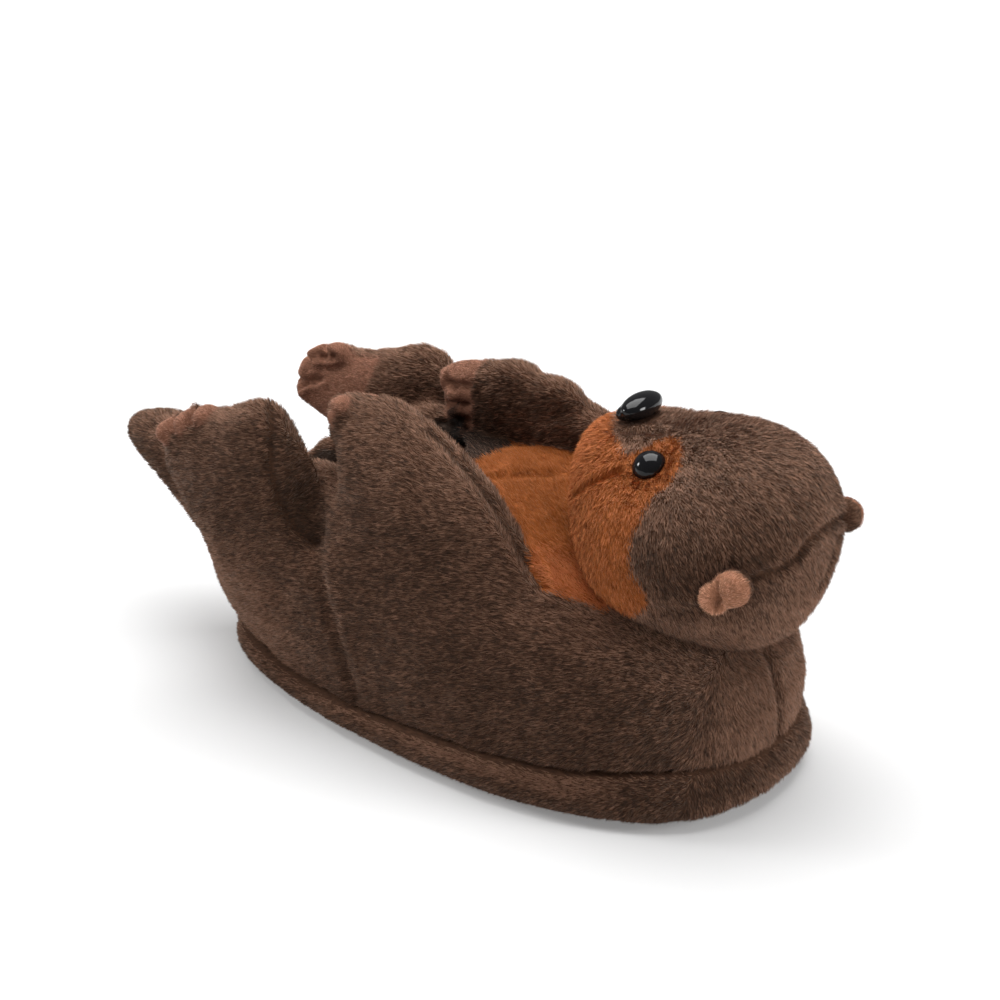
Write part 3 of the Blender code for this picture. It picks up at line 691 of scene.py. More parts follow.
def make_pile_tree():
    """Hair tufts on a mesh, thick where the attribute named Mask is 1, lying along its nap."""
    tree = bpy.data.node_groups.new("plush_pile", "GeometryNodeTree")
    given = add_sockets(tree, (
        ("Density", "Float"), ("Mask", "String"), ("Length", "Float"), ("Width", "Float"),
        ("Lift", "Float"), ("Sway", "Float"), ("Seed", "Int"),
        *((f"Shade {i + 1}", "Material") for i in range(len(PILE_SHADES))),
    ))
    seed = given["Seed"]
    density = maths(tree, "MULTIPLY", given["Density"], stored(tree, given["Mask"]))
    points = add_node(
        tree, "GeometryNodeDistributePointsOnFaces",
        {"Mesh": given["Geometry"], "Density": density, "Seed": seed}, distribute_method="RANDOM")
    normal = points.outputs["Normal"]
    size = maths(tree, "MULTIPLY", random_value(tree, 0.65, 1.2, seed, 3), stored(tree, "fluff"))
    # small patches, broad patches, chance and the painted light and shade give each hair its shade
    shade = swing(tree, noise_on_skin(tree, 600.0, 1.0)[0], 1.7)
    shade_parts = (
        swing(tree, noise_on_skin(tree, 75.0, 2.0)[0], 0.45), random_value(tree, 0.0, 1.0, seed, 4),
        stored(tree, "brushed"))
    for part in shade_parts:
        shade = maths(tree, "ADD", shade, part)
    shaded = add_node(
        tree, "GeometryNodeStoreNamedAttribute",
        {"Geometry": points.outputs["Points"], "Name": "shade", "Value": shade},
        data_type="FLOAT", domain="POINT")
    direction = hair_direction(tree, given, normal)
    hairs = add_node(
        tree, "GeometryNodeInstanceOnPoints",
        {"Points": shaded.outputs[0], "Instance": blade(tree, given["Width"], given["Length"]),
         "Rotation": hair_rotation(tree, direction, normal, seed), "Scale": size})
    geometry = add_node(
        tree, "GeometryNodeRealizeInstances", {"Geometry": hairs.outputs[0]}).outputs[0]
    below_all = -10.0
    for number in range(len(PILE_SHADES)):
        above = PILE_SHADES[number - 1].upto if number else below_all
        chosen = maths(tree, "GREATER_THAN", stored(tree, "shade"), above)
        geometry = add_node(
            tree, "GeometryNodeSetMaterial",
            {"Geometry": geometry, "Selection": chosen, "Material": given[f"Shade {number + 1}"]}
        ).outputs[0]
    end = add_node(tree, "NodeGroupOutput")
    tree.links.new(geometry, end.inputs[0])
    return tree


# Materials


def material(name, colour, roughness, **settings):
    made = bpy.data.materials.new(name)
    made.use_nodes = True
    shader = made.node_tree.nodes["Principled BSDF"]
    shader.inputs["Base Color"].default_value = (*colour, 1)
    shader.inputs["Roughness"].default_value = roughness
    for key, value in settings.items():
        shader.inputs[key.replace("_", " ")].default_value = value
    return made


def hair_materials(name, colour):
    """The shades of a pile, from shadowed hairs to lit tips."""
    made = []
    for number, row in enumerate(PILE_SHADES):
        strength = row.strength ** PILE_CONTRAST.get(name, 1.0)
        mean = sum(colour) / 3
        shade = tuple(min(1.0, (c + (mean - c) * row.grey) * strength) for c in colour)
        sheen = tuple((c / max(colour)) ** 0.45 for c in colour)
        made.append(material(
            f"{name}_pile_{number + 1}", shade, 0.6, Specular_IOR_Level=0.12,
            Sheen_Weight=0.5, Sheen_Roughness=0.5, Sheen_Tint=(*sheen, 1.0)))
    return made


def object_place(tree):
    return add_node(tree, "ShaderNodeTexCoord").outputs["Object"]


def level_from(tree, value, low, high, start=(0.0, 1.0)):
    """A value that runs over start, made to run from low to high."""
    return add_node(
        tree, "ShaderNodeMapRange",
        {"Value": value, "From Min": start[0], "From Max": start[1], "To Min": low, "To Max": high}
    ).outputs[0]


def add_bump(tree, height, strength, distance):
    bump = add_node(
        tree, "ShaderNodeBump", {"Height": height, "Strength": strength, "Distance": distance})
    tree.links.new(bump.outputs[0], tree.nodes["Principled BSDF"].inputs["Normal"])


def undercoat_material(name):
    """Cloth under the pile: its own tint, darker and streaked like the roots of the hairs."""
    made = material(name, (0.1, 0.06, 0.04), 0.9, Specular_IOR_Level=0.15)
    tree = made.node_tree
    stretched = add_node(
        tree, "ShaderNodeMapping",
        {"Vector": object_place(tree), "Scale": (0.35, 1.0, 1.0)}).outputs[0]
    streaks = add_node(
        tree, "ShaderNodeTexNoise",
        {"Vector": stretched, "Scale": 900.0, "Detail": 3.0, "Roughness": 0.6}).outputs[0]
    tint = add_node(tree, "ShaderNodeAttribute", attribute_name="tint").outputs["Color"]
    shaded = vectors(tree, "SCALE", tint, scale=level_from(tree, streaks, 0.45, 0.95, (0.3, 0.7)))
    tree.links.new(shaded, tree.nodes["Principled BSDF"].inputs["Base Color"])
    add_bump(tree, streaks, 0.6, 0.8 * MM)
    return made


def gloss_material(colour):
    """Gloss of moulded plastic, with a faint waviness."""
    made = material(
        "black_gloss", colour, 0.1, Coat_Weight=0.25, Coat_Roughness=0.03, Specular_IOR_Level=0.15)
    tree = made.node_tree
    waves = add_node(
        tree, "ShaderNodeTexNoise",
        {"Vector": object_place(tree), "Scale": 180.0, "Detail": 1.0}).outputs[0]
    add_bump(tree, waves, 0.05, 0.3 * MM)
    return made


def woven_material(name, colour):
    """Plain woven cloth: two crossed sets of threads."""
    made = material(name, colour, 0.85)
    tree = made.node_tree
    place = object_place(tree)
    threads = [
        add_node(
            tree, "ShaderNodeTexWave",
            {"Vector": place, "Scale": 260.0, "Distortion": 0.6, "Detail": 1.0},
            wave_type="BANDS", bands_direction=way).outputs["Fac"]
        for way in ("X", "Y")
    ]
    weave = maths(tree, "MULTIPLY", *threads)
    shaded = vectors(tree, "SCALE", tuple(colour), scale=level_from(tree, weave, 0.6, 1.3))
    tree.links.new(shaded, tree.nodes["Principled BSDF"].inputs["Base Color"])
    add_bump(tree, weave, 0.5, 0.3 * MM)
    return made


def floor_material(colour):
    """A pale floor that glows far from the slipper, so that it stays as light as it is near by."""
    made = material("floor_paint", colour, 0.9, Specular_IOR_Level=0.1)
    tree = made.node_tree
    distance = vectors(tree, "LENGTH", object_place(tree))
    shader = tree.nodes["Principled BSDF"]
    shader.inputs["Emission Color"].default_value = (1, 1, 1, 1)
    glow = level_from(tree, distance, 0.2, 0.95, (0.25, 1.5))
    tree.links.new(glow, shader.inputs["Emission Strength"])
    return made


# Body


def digit_balls():
    """A ball for each toe and finger."""
    return [
        ball_mesh(
            (digit.x * MM, digit.y * MM, digit.z * MM),
            (digit.radius * MM, digit.radius * 1.2 * MM, digit.radius * MM))
        for row in DIGITS.values() for digit in row
    ]


def roll_balls():
    """The rolls of stuffing, on each side that has them."""
    return [
        ball_mesh(
            (roll.x * MM, side * roll.y * MM, roll.z * MM),
            (roll.length * MM, roll.width * MM, roll.height * MM))
        for roll in ROLLS for side in roll.sides
    ]


def digit_seams():
    """Seams that part the toes and fingers: between their middles, and in over the pad's face."""
    seams = []
    for (kind, side), digits in DIGITS.items():
        for first, second in zip(digits, digits[1:]):
            middle = (np.array(first[:3]) + np.array(second[:3])) / 2
            along = np.array(second[:3]) - np.array(first[:3])
            out = np.array((-along[2], 0.0, along[0]))
            out = out * math.copysign(5 / np.linalg.norm(out), out[2] - out[0])
            outer = np.array((0, side * 6.0, 0))
            seams.append(Seam(*DIGIT_SEAM, (
                tuple(middle + outer), tuple(middle + out), tuple(middle - outer))))
        if len(digits) > 2:
            for line in GROOVES[kind]:
                seams.append(Seam(*GROOVE_SEAM, tuple((x, side * PAD_FACE, z) for x, z in line)))
    return seams


def panel_share(places, near):
    """1 on the rust panels: the inner faces and edges of the feet and paws."""
    share = np.zeros(len(places))
    plan = places[:, (0, 2)] / MM
    for kind, limb in (("foot", "leg"), ("paw", "arm")):
        inside = eased(signed_to_polygon(plan, np.array(RUST_PANELS[kind], float)), -0.8, 0.8)
        for side, word in SIDES:
            digits = np.full(len(places), np.inf)
            for digit in DIGITS[kind, side]:
                gap = np.linalg.norm(places / MM - digit[:3], axis=1) - digit.radius
                digits = np.minimum(digits, gap)
            limb_gap = nearest(near, (f"{limb}_{word}", f"{kind}_{word}"))
            on_limb = eased(-np.minimum(limb_gap / MM, digits), -4, -2)
            depth = side * (places[:, 1] / MM) - PANEL_EDGE[kind, side]
            inner = eased(-depth, -0.6, 0.6)
            on_pad = np.maximum(inner * inside, eased(-digits, -1.4, -0.4))
            share = np.maximum(share, on_limb * on_pad)
    return share


def nearest(near, names):
    """Distance of each vertex from the nearest of these nodes."""
    return np.min([near[name] for name in names], axis=0)


class OTTER_OT_body(bpy.types.Operator):
    """Sews the upper, belly, arms, legs and tail into one stuffed skin"""

    bl_idname = "otter.body"
    bl_label = "Body"

    def execute(self, context):
        sizes, colours = context.scene.otter_sizes, context.scene.otter_colours
        meshes = [node_mesh(name, sizes.swell) for name in BODY_NODES]
        meshes += digit_balls() + roll_balls()
        body = fused("plush_body", meshes, sizes.skin_detail)
        skin = Skin(body)
        near = {
            name: distance_to(node_tree(name), skin.places, signed=name == "upper")
            for name in BODY_NODES
        }
        head = distance_to(node_tree("head"), skin.places, signed=True)
        skin.smooth(5)
        inner = lining_share(skin.places, skin.normals())
        inner *= eased(nearest(near, LIMB_NODES) - np.abs(near["upper"]), -0.5 * MM, 0.5 * MM)
        blend_limbs(skin, near, inner)
        press_valleys(skin)
        growth, shadow = sew(skin, (*BODY_SEAMS, *digit_seams()))
        add_lumps(skin, sizes.lump_height, sizes.lump_size, 1 - inner)
        skin.smooth(1)
        self.paint(skin, near, head, inner, growth, shadow, colours)
        body.data.materials.append(undercoat_material("body_cloth"))
        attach(body, "root")
        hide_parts(*BODY_NODES)
        return {"FINISHED"}

    def paint(self, skin, near, head, inner, growth, shadow, colours):
        """Marks which plush grows where, and which way it lies."""
        normals = skin.normals()
        x, y, z = skin.places.T / MM
        rust = panel_share(skin.places, near) * (1 - inner)
        trunk = np.minimum(np.abs(near["upper"]), near["belly"])
        front = eased(x, -16, -12) * eased(-x, -92, -88)
        high = eased(z - (84 + 0.35 * np.clip(66 - x, 0, 100)), -1.5, 1.5)
        between = eased(np.interp(x, BELLY_EDGE_X, BELLY_EDGE_Y) - np.abs(y), -0.5, 0.5)
        orange = front * high * between * (1 - inner) * (1 - rust)
        orange *= eased(nearest(near, LIMBS) - trunk, -0.6 * MM, 0.6 * MM)
        brown = np.clip(1 - rust - orange - inner, 0, 1)
        # painted shade in the deep pocket between the belly and the left arm
        pocket_shade = eased(x, -52, -46) * eased(-x, -26, -18) * eased(y, 3, 8) * eased(-y, -48, -44)
        pocket_shade *= eased(z, 86, 92) * eased(-z, -126, -120)
        arm = np.minimum(near["arm_left"], near["paw_left"])
        pocket_shade *= eased(arm, 0.5 * MM, 2 * MM) * (1 - orange)
        # painted light and shade on the pile: lighter low on the heel, on the far leg and the toe's
        # front where light falls, painted shade in the valley, and darker on the tail
        heel = eased(-x, 50, 85) * eased(-z, -90, -50)
        folded = np.column_stack([x, -np.abs(y), z])
        valley = np.exp(-((line_distance(folded, np.array(VALLEY, float)) / 7.5) ** 2))
        far = eased(y, 15, 22) * eased(z, 96, 104) * eased(-x, 55, 65)
        brushed = painted_light_share(normals) + 0.4 * heel + 0.2 * far
        brushed = brushed + 0.3 * eased(x, 120, 144) - 0.6 * valley
        brushed -= 0.2 * eased(-near["tail"], -2 * MM, -1 * MM)
        # on the belly, painted light low down and painted shade high up under the head and arms
        brushed = brushed * (1 - orange) + orange * (0.65 - 1.15 * eased(z, 97, 110))
        # the nap runs to the heel, and down over the toe
        toe = eased(x, 118, 140)[:, None]
        nap = np.tile((-1.0, 0.0, -0.12), (len(x), 1)) * (1 - toe) + np.array((0.0, 0.0, -1.0)) * toe
        tint = tint_of(
            (brown + 1e-3, orange, rust, inner),
            (colours.brown, colours.orange, colours.rust, colours.lining))
        # painted shade in the pocket: darker cloth, and fewer hairs over it
        tint[:, :3] *= (1 - 0.85 * pocket_shade)[:, None]
        hidden = eased(head, *BURIED) * eased(z, 12, 16)
        growth = growth * hidden * (1 - 0.85 * pocket_shade)
        quarters = {
            f"grow_{end}_{word}": brown * growth * eased(side * y, -0.2, 0.2) * share
            for end, share in (("front", eased(x, -20.2, -20)), ("back", eased(-x, 20, 20.2)))
            for side, word in SIDES
        }
        skin.write(
            tint=tint,
            nap=along_skin(nap, normals),
            fluff=np.clip(1 - 0.6 * rust - 0.1 * orange, 0.3, 1),
            # painted light and shade on the pile, with painted shade in the seams and the pocket
            brushed=(brushed - SEAM_SHADOW * shadow) * (1 - inner) - pocket_shade,
            **quarters,
            grow_orange=orange * growth,
            grow_rust=rust * growth,
            grow_lining=inner * growth * eased(z, 78, 90),
        )


def node_tree(name):
    """A search tree of a node's surface."""
    item = link(bpy.data.objects.new(f"{name}_probe", node_mesh(name)))
    tree = BVHTree.FromObject(item, bpy.context.evaluated_depsgraph_get())
    bpy.data.objects.remove(item)
    return tree


def lining_share(places, normals):
    """1 on the walls of the foot space, 0 outside."""
    middle = np.full_like(places, (0.0, 0.0, 0.055))
    middle[:, 0] = np.clip(places[:, 0], -0.1, 0.06)
    away = places - middle
    away /= np.linalg.norm(away, axis=1, keepdims=True)
    facing = np.sum(away * normals, axis=1)
    inside = eased(-facing, 0.05, 0.3)
    low, high = (np.array(corner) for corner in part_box("upper"))
    within = (places[:, 2] < high[2] + 2 * MM) & (places[:, 0] > low[0] - 5 * MM)
    return inside * within


def blend_limbs(skin, near, inner):
    """Draws the outer faces of the limbs and the flank into one soft surface."""
    seat = np.maximum(nearest(near, LIMBS), np.abs(near["upper"]))
    normals = skin.normals()
    outward = np.sign(normals[:, 1]) == np.sign(skin.places[:, 1])
    outward = eased(np.abs(normals[:, 1]), 0.25, 0.6) * outward
    z = skin.places[:, 2] / MM
    weight = eased(-seat, -16 * MM, -9 * MM) * outward * (1 - inner) * eased(-z, -112, -100)
    skin.smooth(360, skin.spread(weight, 8))
    tail = eased(-np.maximum(near["tail"], np.abs(near["upper"])), -10 * MM, -5 * MM)
    skin.smooth(80, skin.spread(tail * (1 - inner), 5))


# Head


class OTTER_OT_head(bpy.types.Operator):
    """Sews the stuffed head"""

    bl_idname = "otter.head"
    bl_label = "Head"

    def execute(self, context):
        sizes, colours = context.scene.otter_sizes, context.scene.otter_colours
        head = fused("plush_head", [node_mesh("head", sizes.swell)], sizes.skin_detail)
        skin = Skin(head)
        skin.smooth(3)
        growth, shadow = sew(skin, HEAD_SEAMS)
        add_lumps(skin, sizes.lump_height * 0.7, sizes.lump_size)
        skin.smooth(1)
        self.paint(skin, growth, shadow, colours)
        head.data.materials.append(undercoat_material("head_cloth"))
        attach(head, "root")
        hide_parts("head")
        return {"FINISHED"}

    def paint(self, skin, growth, shadow, colours):
        """Marks where the crown and the muzzle grow their pile, which lies away from the nose."""
        normals = skin.normals()
        x, y, z = skin.places.T / MM
        turn = np.degrees(np.arctan2(np.abs(y), z - HEAD_AXIS_Z)) * TURN_TO_MM
        wobble = np.array([noise.noise(Vector(place) * 160) for place in skin.places]) * 1.2
        corners = np.array([(edge.x, edge.turn * TURN_TO_MM) for edge in MUZZLE_EDGE], float)
        into = signed_to_polygon(np.column_stack([x, turn]), corners) + wobble
        orange = eased(into, -0.7, 0.7)
        # the crown is lighter beside the muzzle's edge, and painted light lies low on the cheek
        beside = np.exp(-((into / 5) ** 2)) * (1 - orange)
        cheek = eased(-z, -108, -85)
        low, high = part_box("nose")
        nose = (np.array(low) + np.array(high)) / 2
        away = skin.places - nose
        growth = growth * growth_near_eyes(skin.places)
        growth = growth * eased(np.linalg.norm(away * (1, 0.85, 1), axis=1), 8 * MM, 9.5 * MM)
        body = bpy.data.objects.get("plush_body")
        body_tree = BVHTree.FromObject(body, bpy.context.evaluated_depsgraph_get())
        growth = growth * eased(distance_to(body_tree, skin.places, signed=True), *BURIED)
        tint = tint_of((1 - orange + 1e-3, orange), (colours.brown, colours.orange))
        # painted light on the pile where it faces up and low on the cheek, and painted shade in the
        # seams
        brushed = (painted_light_share(normals) + 0.35 * cheek) * (1 - 0.6 * orange) + 0.2 * beside
        skin.write(
            tint=tint * (1 + 0.5 * beside)[:, None],
            nap=along_skin(away, normals),
            fluff=np.clip(0.55 + np.linalg.norm(away, axis=1) / (60 * MM), 0.55, 1.0),
            brushed=brushed - SEAM_SHADOW * shadow,
            grow_brown=(1 - orange) * growth,
            grow_orange=orange * growth,
        )


def growth_near_eyes(places):
    """0 on the skin under the eyes, 1 a little away from them."""
    growth = np.ones(len(places))
    for _, word in SIDES:
        low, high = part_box(f"eye_{word}")
        middle = (np.array(low) + np.array(high)) / 2
        radius = (high[0] - low[0]) / 2
        gap = np.linalg.norm(places - middle, axis=1) - radius
        growth *= eased(gap, -0.5 * MM, 0.8 * MM)
    return growth


class OTTER_OT_ears(bpy.types.Operator):
    """Makes the small folded ears"""

    bl_idname = "otter.ears"
    bl_label = "Ears"

    def execute(self, context):
        colours = context.scene.otter_colours
        for side, word in SIDES:
            low, high = (np.array(corner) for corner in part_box(f"ear_{word}"))
            middle = (low + high) / 2 + np.array([0.8, 0, 1.0 if side < 0 else -2.2]) * MM
            long_way = np.array([0.8, 0, 0.6])
            lobes = [
                ball_mesh(middle + long_way * 5.0 * MM, (7.4 * MM, 6.5 * MM, 7.4 * MM)),
                ball_mesh(middle - long_way * 4.8 * MM, (6.2 * MM, 6.0 * MM, 6.2 * MM)),
            ]
            ear = fused(f"plush_ear_{word}", lobes, 0.9 * MM)
            skin = Skin(ear)
            skin.smooth(4)
            offsets = ((-3.5, side * 6, 5), (0, side * 6, 0), (1.5, side * 6, -4))
            fold = tuple(middle / MM + offset for offset in offsets)
            growth, shadow = sew(skin, (Seam(2.6, 1.5, 0.4, fold),))
            skin.smooth(1)
            normals = skin.normals()
            away = skin.places - middle
            back = eased(-side * normals[:, 1], -0.25, 0.15)
            # brown on the back of the ear; in the fold, painted shade: darker hairs and the brown tint
            # on its bare strip
            skin.write(
                tint=tint_of((1 - back + 1e-3, back + (1 - growth)), (colours.peach, colours.brown)),
                nap=along_skin(away * (1, 0, 1) + (0, 0, 1e-4), normals),
                fluff=np.full(len(away), 0.55),
                brushed=-SEAM_SHADOW * shadow,
                grow=(1 - back) * growth,
                grow_back=back,
            )
            ear.data.materials.append(undercoat_material(f"ear_cloth_{word}"))
            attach(ear, "root")
            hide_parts(f"ear_{word}")
        return {"FINISHED"}


class OTTER_OT_face(bpy.types.Operator):
    """Makes the glossy eyes and the two-lobed nose"""

    bl_idname = "otter.face"
    bl_label = "Eyes and nose"

    def execute(self, context):
        gloss = gloss_material(context.scene.otter_colours.black)
        for _, word in SIDES:
            eye = glossy(f"glossy_eye_{word}", [node_mesh(f"eye_{word}", 0.2 * MM)], 8, gloss)
            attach(eye, "root")
            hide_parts(f"eye_{word}")
        low, high = (np.array(corner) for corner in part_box("nose"))
        size, middle = high - low, (low + high) / 2
        lobes = [ball_mesh(middle + size * (0.03, 0, 0.02), size * (0.46, 0.49, 0.48))]
        lobes += [
            ball_mesh(middle + size * (-0.24, way * 0.2, -0.16), size * (0.25, 0.25, 0.32))
            for way in (-1, 1)
        ]
        nose = glossy("glossy_nose", lobes, 10, gloss)
        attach(nose, "root")
        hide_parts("nose")
        return {"FINISHED"}


def glossy(name, meshes, times, gloss):
    """One smooth form fused from these meshes."""
    item = fused(name, meshes, 0.6 * MM)
    skin = Skin(item)
    skin.smooth(times)
    skin.write()
    item.data.materials.append(gloss)
    return item


# Sole


def shape_sole(places):
    """Draws the heel end of the sole in under the heel, and lets the toe's edge hang lower."""
    x, z = places[:, 0] / MM, places[:, 2] / MM
    places[:, 0] += 4.5 * MM * eased(-x, 105, 145)
    places[:, 2] -= 3.5 * MM * eased(x, 85, 130) * (1 - eased(z, 12, 24))


class OTTER_OT_band(bpy.types.Operator):
    """Covers the foam sole in plush"""

    bl_idname = "otter.band"
    bl_label = "Band"

    def execute(self, context):
        sizes, colours = context.scene.otter_sizes, context.scene.otter_colours
        band = fused("plush_band", [node_mesh("platform", sizes.swell / 2)], sizes.skin_detail * 1.4)
        skin = Skin(band)
        skin.smooth(3)
        shape_sole(skin.places)
        # the band bulges round the middle of its height
        out = skin.normals() * (1, 1, 0)
        lift = (skin.places[:, 2] / MM)[:, None]
        skin.places += out * 2.2 * MM * np.exp(-(((lift - 9) / 8) ** 2))
        add_lumps(skin, sizes.lump_height * 0.5, sizes.lump_size * 0.7)
        normals = skin.normals()
        x, y, z = skin.places.T / MM
        side = eased(0.75 - normals[:, 2], 0.0, 0.2) * eased(0.9 + normals[:, 2], 0.0, 0.15)
        lift = np.maximum(z - z.min(), 0)
        nap = np.where((x > 128)[:, None], (0.0, 0.0, -1.0), (-1.0, 0.0, -0.2))
        # painted highlight along the band's upper edge, turning to painted shade toward the toe, over
        # the painted light where it faces up
        ridge_highlight = 0.4 * eased(lift, 9, 14) * (1 - 1.6 * eased(x, 80, 120))
        skin.write(
            tint=np.tile((*colours.brown, 1.0), (len(x), 1)),
            nap=along_skin(nap, normals),
            fluff=np.clip(0.55 + eased(lift, 1, 8) * 0.45, 0, 1),
            brushed=painted_light_share(normals) + ridge_highlight,
            grow=side * eased(lift, 0.5, 1.5),
        )
        band.data.materials.append(undercoat_material("band_cloth"))
        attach(band, "root")
        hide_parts("platform")
        return {"FINISHED"}


class OTTER_OT_insole(bpy.types.Operator):
    """Covers the insole in short plush"""

    bl_idname = "otter.insole"
    bl_label = "Insole"

    def execute(self, context):
        sizes, colours = context.scene.otter_sizes, context.scene.otter_colours
        insole = fused("plush_insole", [node_mesh("insole")], sizes.skin_detail * 2)
        skin = Skin(insole)
        skin.smooth(4)
        add_lumps(skin, sizes.lump_height, sizes.lump_size)
        normals = skin.normals()
        x = skin.places[:, 0] / MM
        skin.write(
            tint=np.tile((*colours.lining, 1.0), (len(x), 1)),
            nap=along_skin(np.tile((-1.0, 0.1, 0.0), (len(x), 1)), normals),
            fluff=np.ones(len(x)),
            grow=eased(normals[:, 2], 0.6, 0.8) * eased(-x, 20, 30),
        )
        insole.data.materials.append(undercoat_material("insole_cloth"))
        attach(insole, "root")
        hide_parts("insole")
        return {"FINISHED"}


def dot_tree():
    """A rubber dot at each point of a mesh."""
    tree = bpy.data.node_groups.new("grip_dots", "GeometryNodeTree")
    given = add_sockets(tree, (("Width", "Float"), ("Height", "Float"), ("Rubber", "Material")))
    cone = add_node(
        tree, "GeometryNodeMeshCone",
        {"Vertices": 8, "Radius Top": maths(tree, "MULTIPLY", given["Width"], 0.28),
         "Radius Bottom": maths(tree, "MULTIPLY", given["Width"], 0.5), "Depth": given["Height"]},
        fill_type="NGON")
    down = add_node(
        tree, "GeometryNodeTransform",
        {"Geometry": cone.outputs[0], "Rotation": (math.pi, 0.0, 0.0)})
    dots = add_node(
        tree, "GeometryNodeInstanceOnPoints",
        {"Points": given["Geometry"], "Instance": down.outputs[0]})
    real = add_node(tree, "GeometryNodeRealizeInstances", {"Geometry": dots.outputs[0]})
    painted = add_node(
        tree, "GeometryNodeSetMaterial", {"Geometry": real.outputs[0], "Material": given["Rubber"]})
    end = add_node(tree, "NodeGroupOutput")
    tree.links.new(painted.outputs[0], end.inputs[0])
    return tree


class OTTER_OT_outsole(bpy.types.Operator):
    """Makes the cloth under the sole and its rubber dots"""

    bl_idname = "otter.outsole"
    bl_label = "Outsole"

    def execute(self, context):
        sizes, colours = context.scene.otter_sizes, context.scene.otter_colours
        cloth = link(bpy.data.objects.new("grip_cloth", node_mesh("outsole")))
        low, high = (np.array(corner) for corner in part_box("outsole"))
        height = 0.5 * MM
        places, normals = vertices_of(cloth.data), normals_of(cloth.data)
        places[:, 2] += np.where(normals[:, 2] < -0.3, height, 0)
        shape_sole(places)
        move_vertices(cloth.data, places)
        cloth.data.materials.append(woven_material("grip_cloth_weave", colours.grip))
        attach(cloth, "root")
        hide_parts("outsole")
        points = dot_places(cloth, low, high, sizes.dot_spacing)
        mesh = bpy.data.meshes.new("grip_dots")
        mesh.from_pydata([point - Vector((0, 0, height / 2 - 0.02 * MM)) for point in points], [], [])
        dots = link(bpy.data.objects.new("grip_dots", mesh))
        rubber = material("dot_rubber", (0.02, 0.018, 0.017), 0.5)
        modifier = dots.modifiers.new("Dots", "NODES")
        modifier.node_group = dot_tree()
        set_inputs(
            modifier, modifier.node_group,
            {"Width": sizes.dot_size, "Height": height, "Rubber": rubber})
        apply_modifiers(dots)
        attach(dots, "root")
        return {"FINISHED"}


def dot_places(cloth, low, high, step):
    """Places under the cloth, in staggered rows, that stay clear of its edge."""
    tree = BVHTree.FromObject(cloth, bpy.context.evaluated_depsgraph_get())
    clear = 3 * MM
    around = ((0, 0), (clear, 0), (-clear, 0), (0, clear), (0, -clear))
    places = []
    for row, y in enumerate(np.arange(low[1], high[1], step * math.sqrt(0.75))):
        for x in np.arange(low[0] + step / 2 * (row % 2), high[0], step):
            spots = [tree.ray_cast((x + dx, y + dy, -1), (0, 0, 1))[0] for dx, dy in around]
            if None not in spots:
                places.append(spots[0])
    return places


# Pile


def grow_pile(row):
    """Grows hair tufts on a skin where its attribute says, as a piece of its own."""
    sizes = bpy.context.scene.otter_sizes
    tree = bpy.data.node_groups.get("plush_pile") or make_pile_tree()
    item = link(bpy.data.objects.new(row.name, bpy.data.objects[row.skin].data.copy()))
    item.data.materials.clear()
    modifier = item.modifiers.new("Pile", "NODES")
    modifier.node_group = tree
    shades = [
        bpy.data.materials.get(f"{row.colour}_pile_{i + 1}") for i in range(len(PILE_SHADES))]
    if None in shades:
        shades = hair_materials(row.colour, getattr(bpy.context.scene.otter_colours, row.colour))
    usual = sizes.lining_length if row.colour == "lining" else sizes.pile_length
    values = {
        "Density": sizes.pile_count * row.density / MM**2, "Mask": row.where,
        "Length": usual * row.length, "Width": sizes.pile_width, "Lift": sizes.pile_lift,
        "Sway": sizes.pile_sway * row.sway, "Seed": row.seed,
    }
    values.update({f"Shade {i + 1}": made for i, made in enumerate(shades)})
    set_inputs(modifier, tree, values)
    apply_modifiers(item)
    for layer in [attribute.name for attribute in item.data.attributes]:
        if layer in ("nap", "fluff", "tint", "shade", "brushed") or layer.startswith("grow"):
            item.data.attributes.remove(item.data.attributes[layer])
    print(f"{row.name}: {len(item.data.polygons)} hairs")
    if not item.data.polygons:
        raise RuntimeError(f"no hair grew on {row.name}")
    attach(item, "root")


class OTTER_OT_pile(bpy.types.Operator):
    """Grows the plush pile on every skin"""

    bl_idname = "otter.pile"
    bl_label = "Pile"

    def execute(self, context):
        for row in PILES:
            grow_pile(row)
        return {"FINISHED"}


# Stage


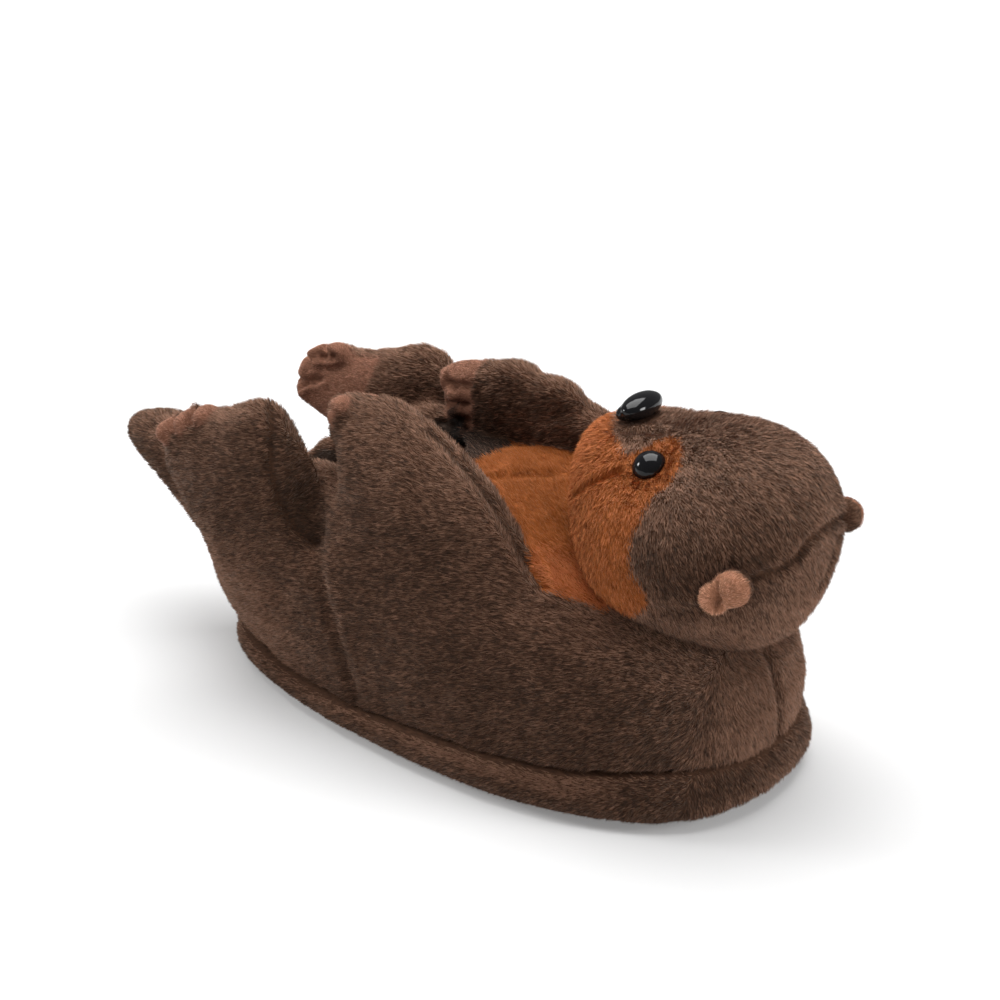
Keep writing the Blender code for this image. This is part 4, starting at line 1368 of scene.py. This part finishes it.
class OTTER_OT_stage(bpy.types.Operator):
    """Sets the camera, the pale floor and the soft studio light"""

    bl_idname = "otter.stage"
    bl_label = "Stage"

    def execute(self, context):
        scene = context.scene
        floor_mesh = bpy.data.meshes.new("floor")
        reach = FLOOR_REACH
        floor_mesh.from_pydata(
            [(-reach, -reach, 0), (reach, -reach, 0), (reach, reach, 0), (-reach, reach, 0)],
            [], [(0, 1, 2, 3)])
        floor = link(bpy.data.objects.new("floor", floor_mesh))
        floor_mesh.materials.append(floor_material(scene.otter_colours.floor))
        world = bpy.data.worlds.new("studio")
        scene.world = world
        world.use_nodes = True
        background = world.node_tree.nodes["Background"]
        background.inputs["Color"].default_value = (1, 1, 1, 1)
        background.inputs["Strength"].default_value = WORLD_LIGHT
        turn, rise = math.radians(CAMERA_AZIMUTH), math.radians(CAMERA_ELEVATION)
        right = Vector((math.cos(turn), math.sin(turn), 0))
        front = Vector((math.sin(turn), -math.cos(turn), 0))
        for row in LIGHTS:
            place = row.right * right + row.front * front + Vector((0, 0, row.up))
            light = bpy.data.lights.new(row.name, "AREA")
            light.shape = "RECTANGLE"
            light.size, light.size_y = row.size
            light.energy = row.power
            item = link(bpy.data.objects.new(row.name, light))
            item.location = place
            item.rotation_euler = (Vector(LIGHT_TARGET) - place).to_track_quat("-Z", "Y").to_euler()
        camera_data = bpy.data.cameras.new("photo_camera")
        camera_data.lens = CAMERA_LENS
        camera = link(bpy.data.objects.new("photo_camera", camera_data))
        back = front * math.cos(rise) + Vector((0, 0, math.sin(rise)))
        camera.location = Vector(CAMERA_TARGET) + back * CAMERA_DISTANCE
        camera.rotation_euler = (-back).to_track_quat("-Z", "Y").to_euler()
        scene.camera = camera
        scene.view_settings.view_transform = "Standard"
        return {"FINISHED"}


OPERATORS = (
    OTTER_OT_body, OTTER_OT_head, OTTER_OT_ears, OTTER_OT_face, OTTER_OT_band, OTTER_OT_insole,
    OTTER_OT_outsole, OTTER_OT_pile, OTTER_OT_stage,
)


class OTTER_PT_slipper(bpy.types.Panel):
    """Lists the slipper's pieces, sizes and colours"""

    bl_label = "Otter Slipper"
    bl_idname = "OTTER_PT_slipper"
    bl_space_type = "VIEW_3D"
    bl_region_type = "UI"
    bl_category = "Slipper"

    def draw(self, context):
        for group in (context.scene.otter_sizes, context.scene.otter_colours):
            box = self.layout.box()
            for name in group.__annotations__:
                box.prop(group, name)
        for operator in OPERATORS:
            self.layout.operator(operator.bl_idname)


CLASSES = (OtterSizes, OtterColours, *OPERATORS, OTTER_PT_slipper)


def register():
    for made in CLASSES:
        bpy.utils.register_class(made)
    bpy.types.Scene.otter_sizes = bpy.props.PointerProperty(type=OtterSizes)
    bpy.types.Scene.otter_colours = bpy.props.PointerProperty(type=OtterColours)


def unregister():
    del bpy.types.Scene.otter_colours
    del bpy.types.Scene.otter_sizes
    for made in reversed(CLASSES):
        bpy.utils.unregister_class(made)


def main():
    register()
    bpy.ops.otter.body()
    bpy.ops.otter.head()
    bpy.ops.otter.ears()
    bpy.ops.otter.face()
    bpy.ops.otter.band()
    bpy.ops.otter.insole()
    bpy.ops.otter.outsole()
    bpy.ops.otter.pile()
    bpy.ops.otter.stage()


if __name__ == "__main__":
    main()
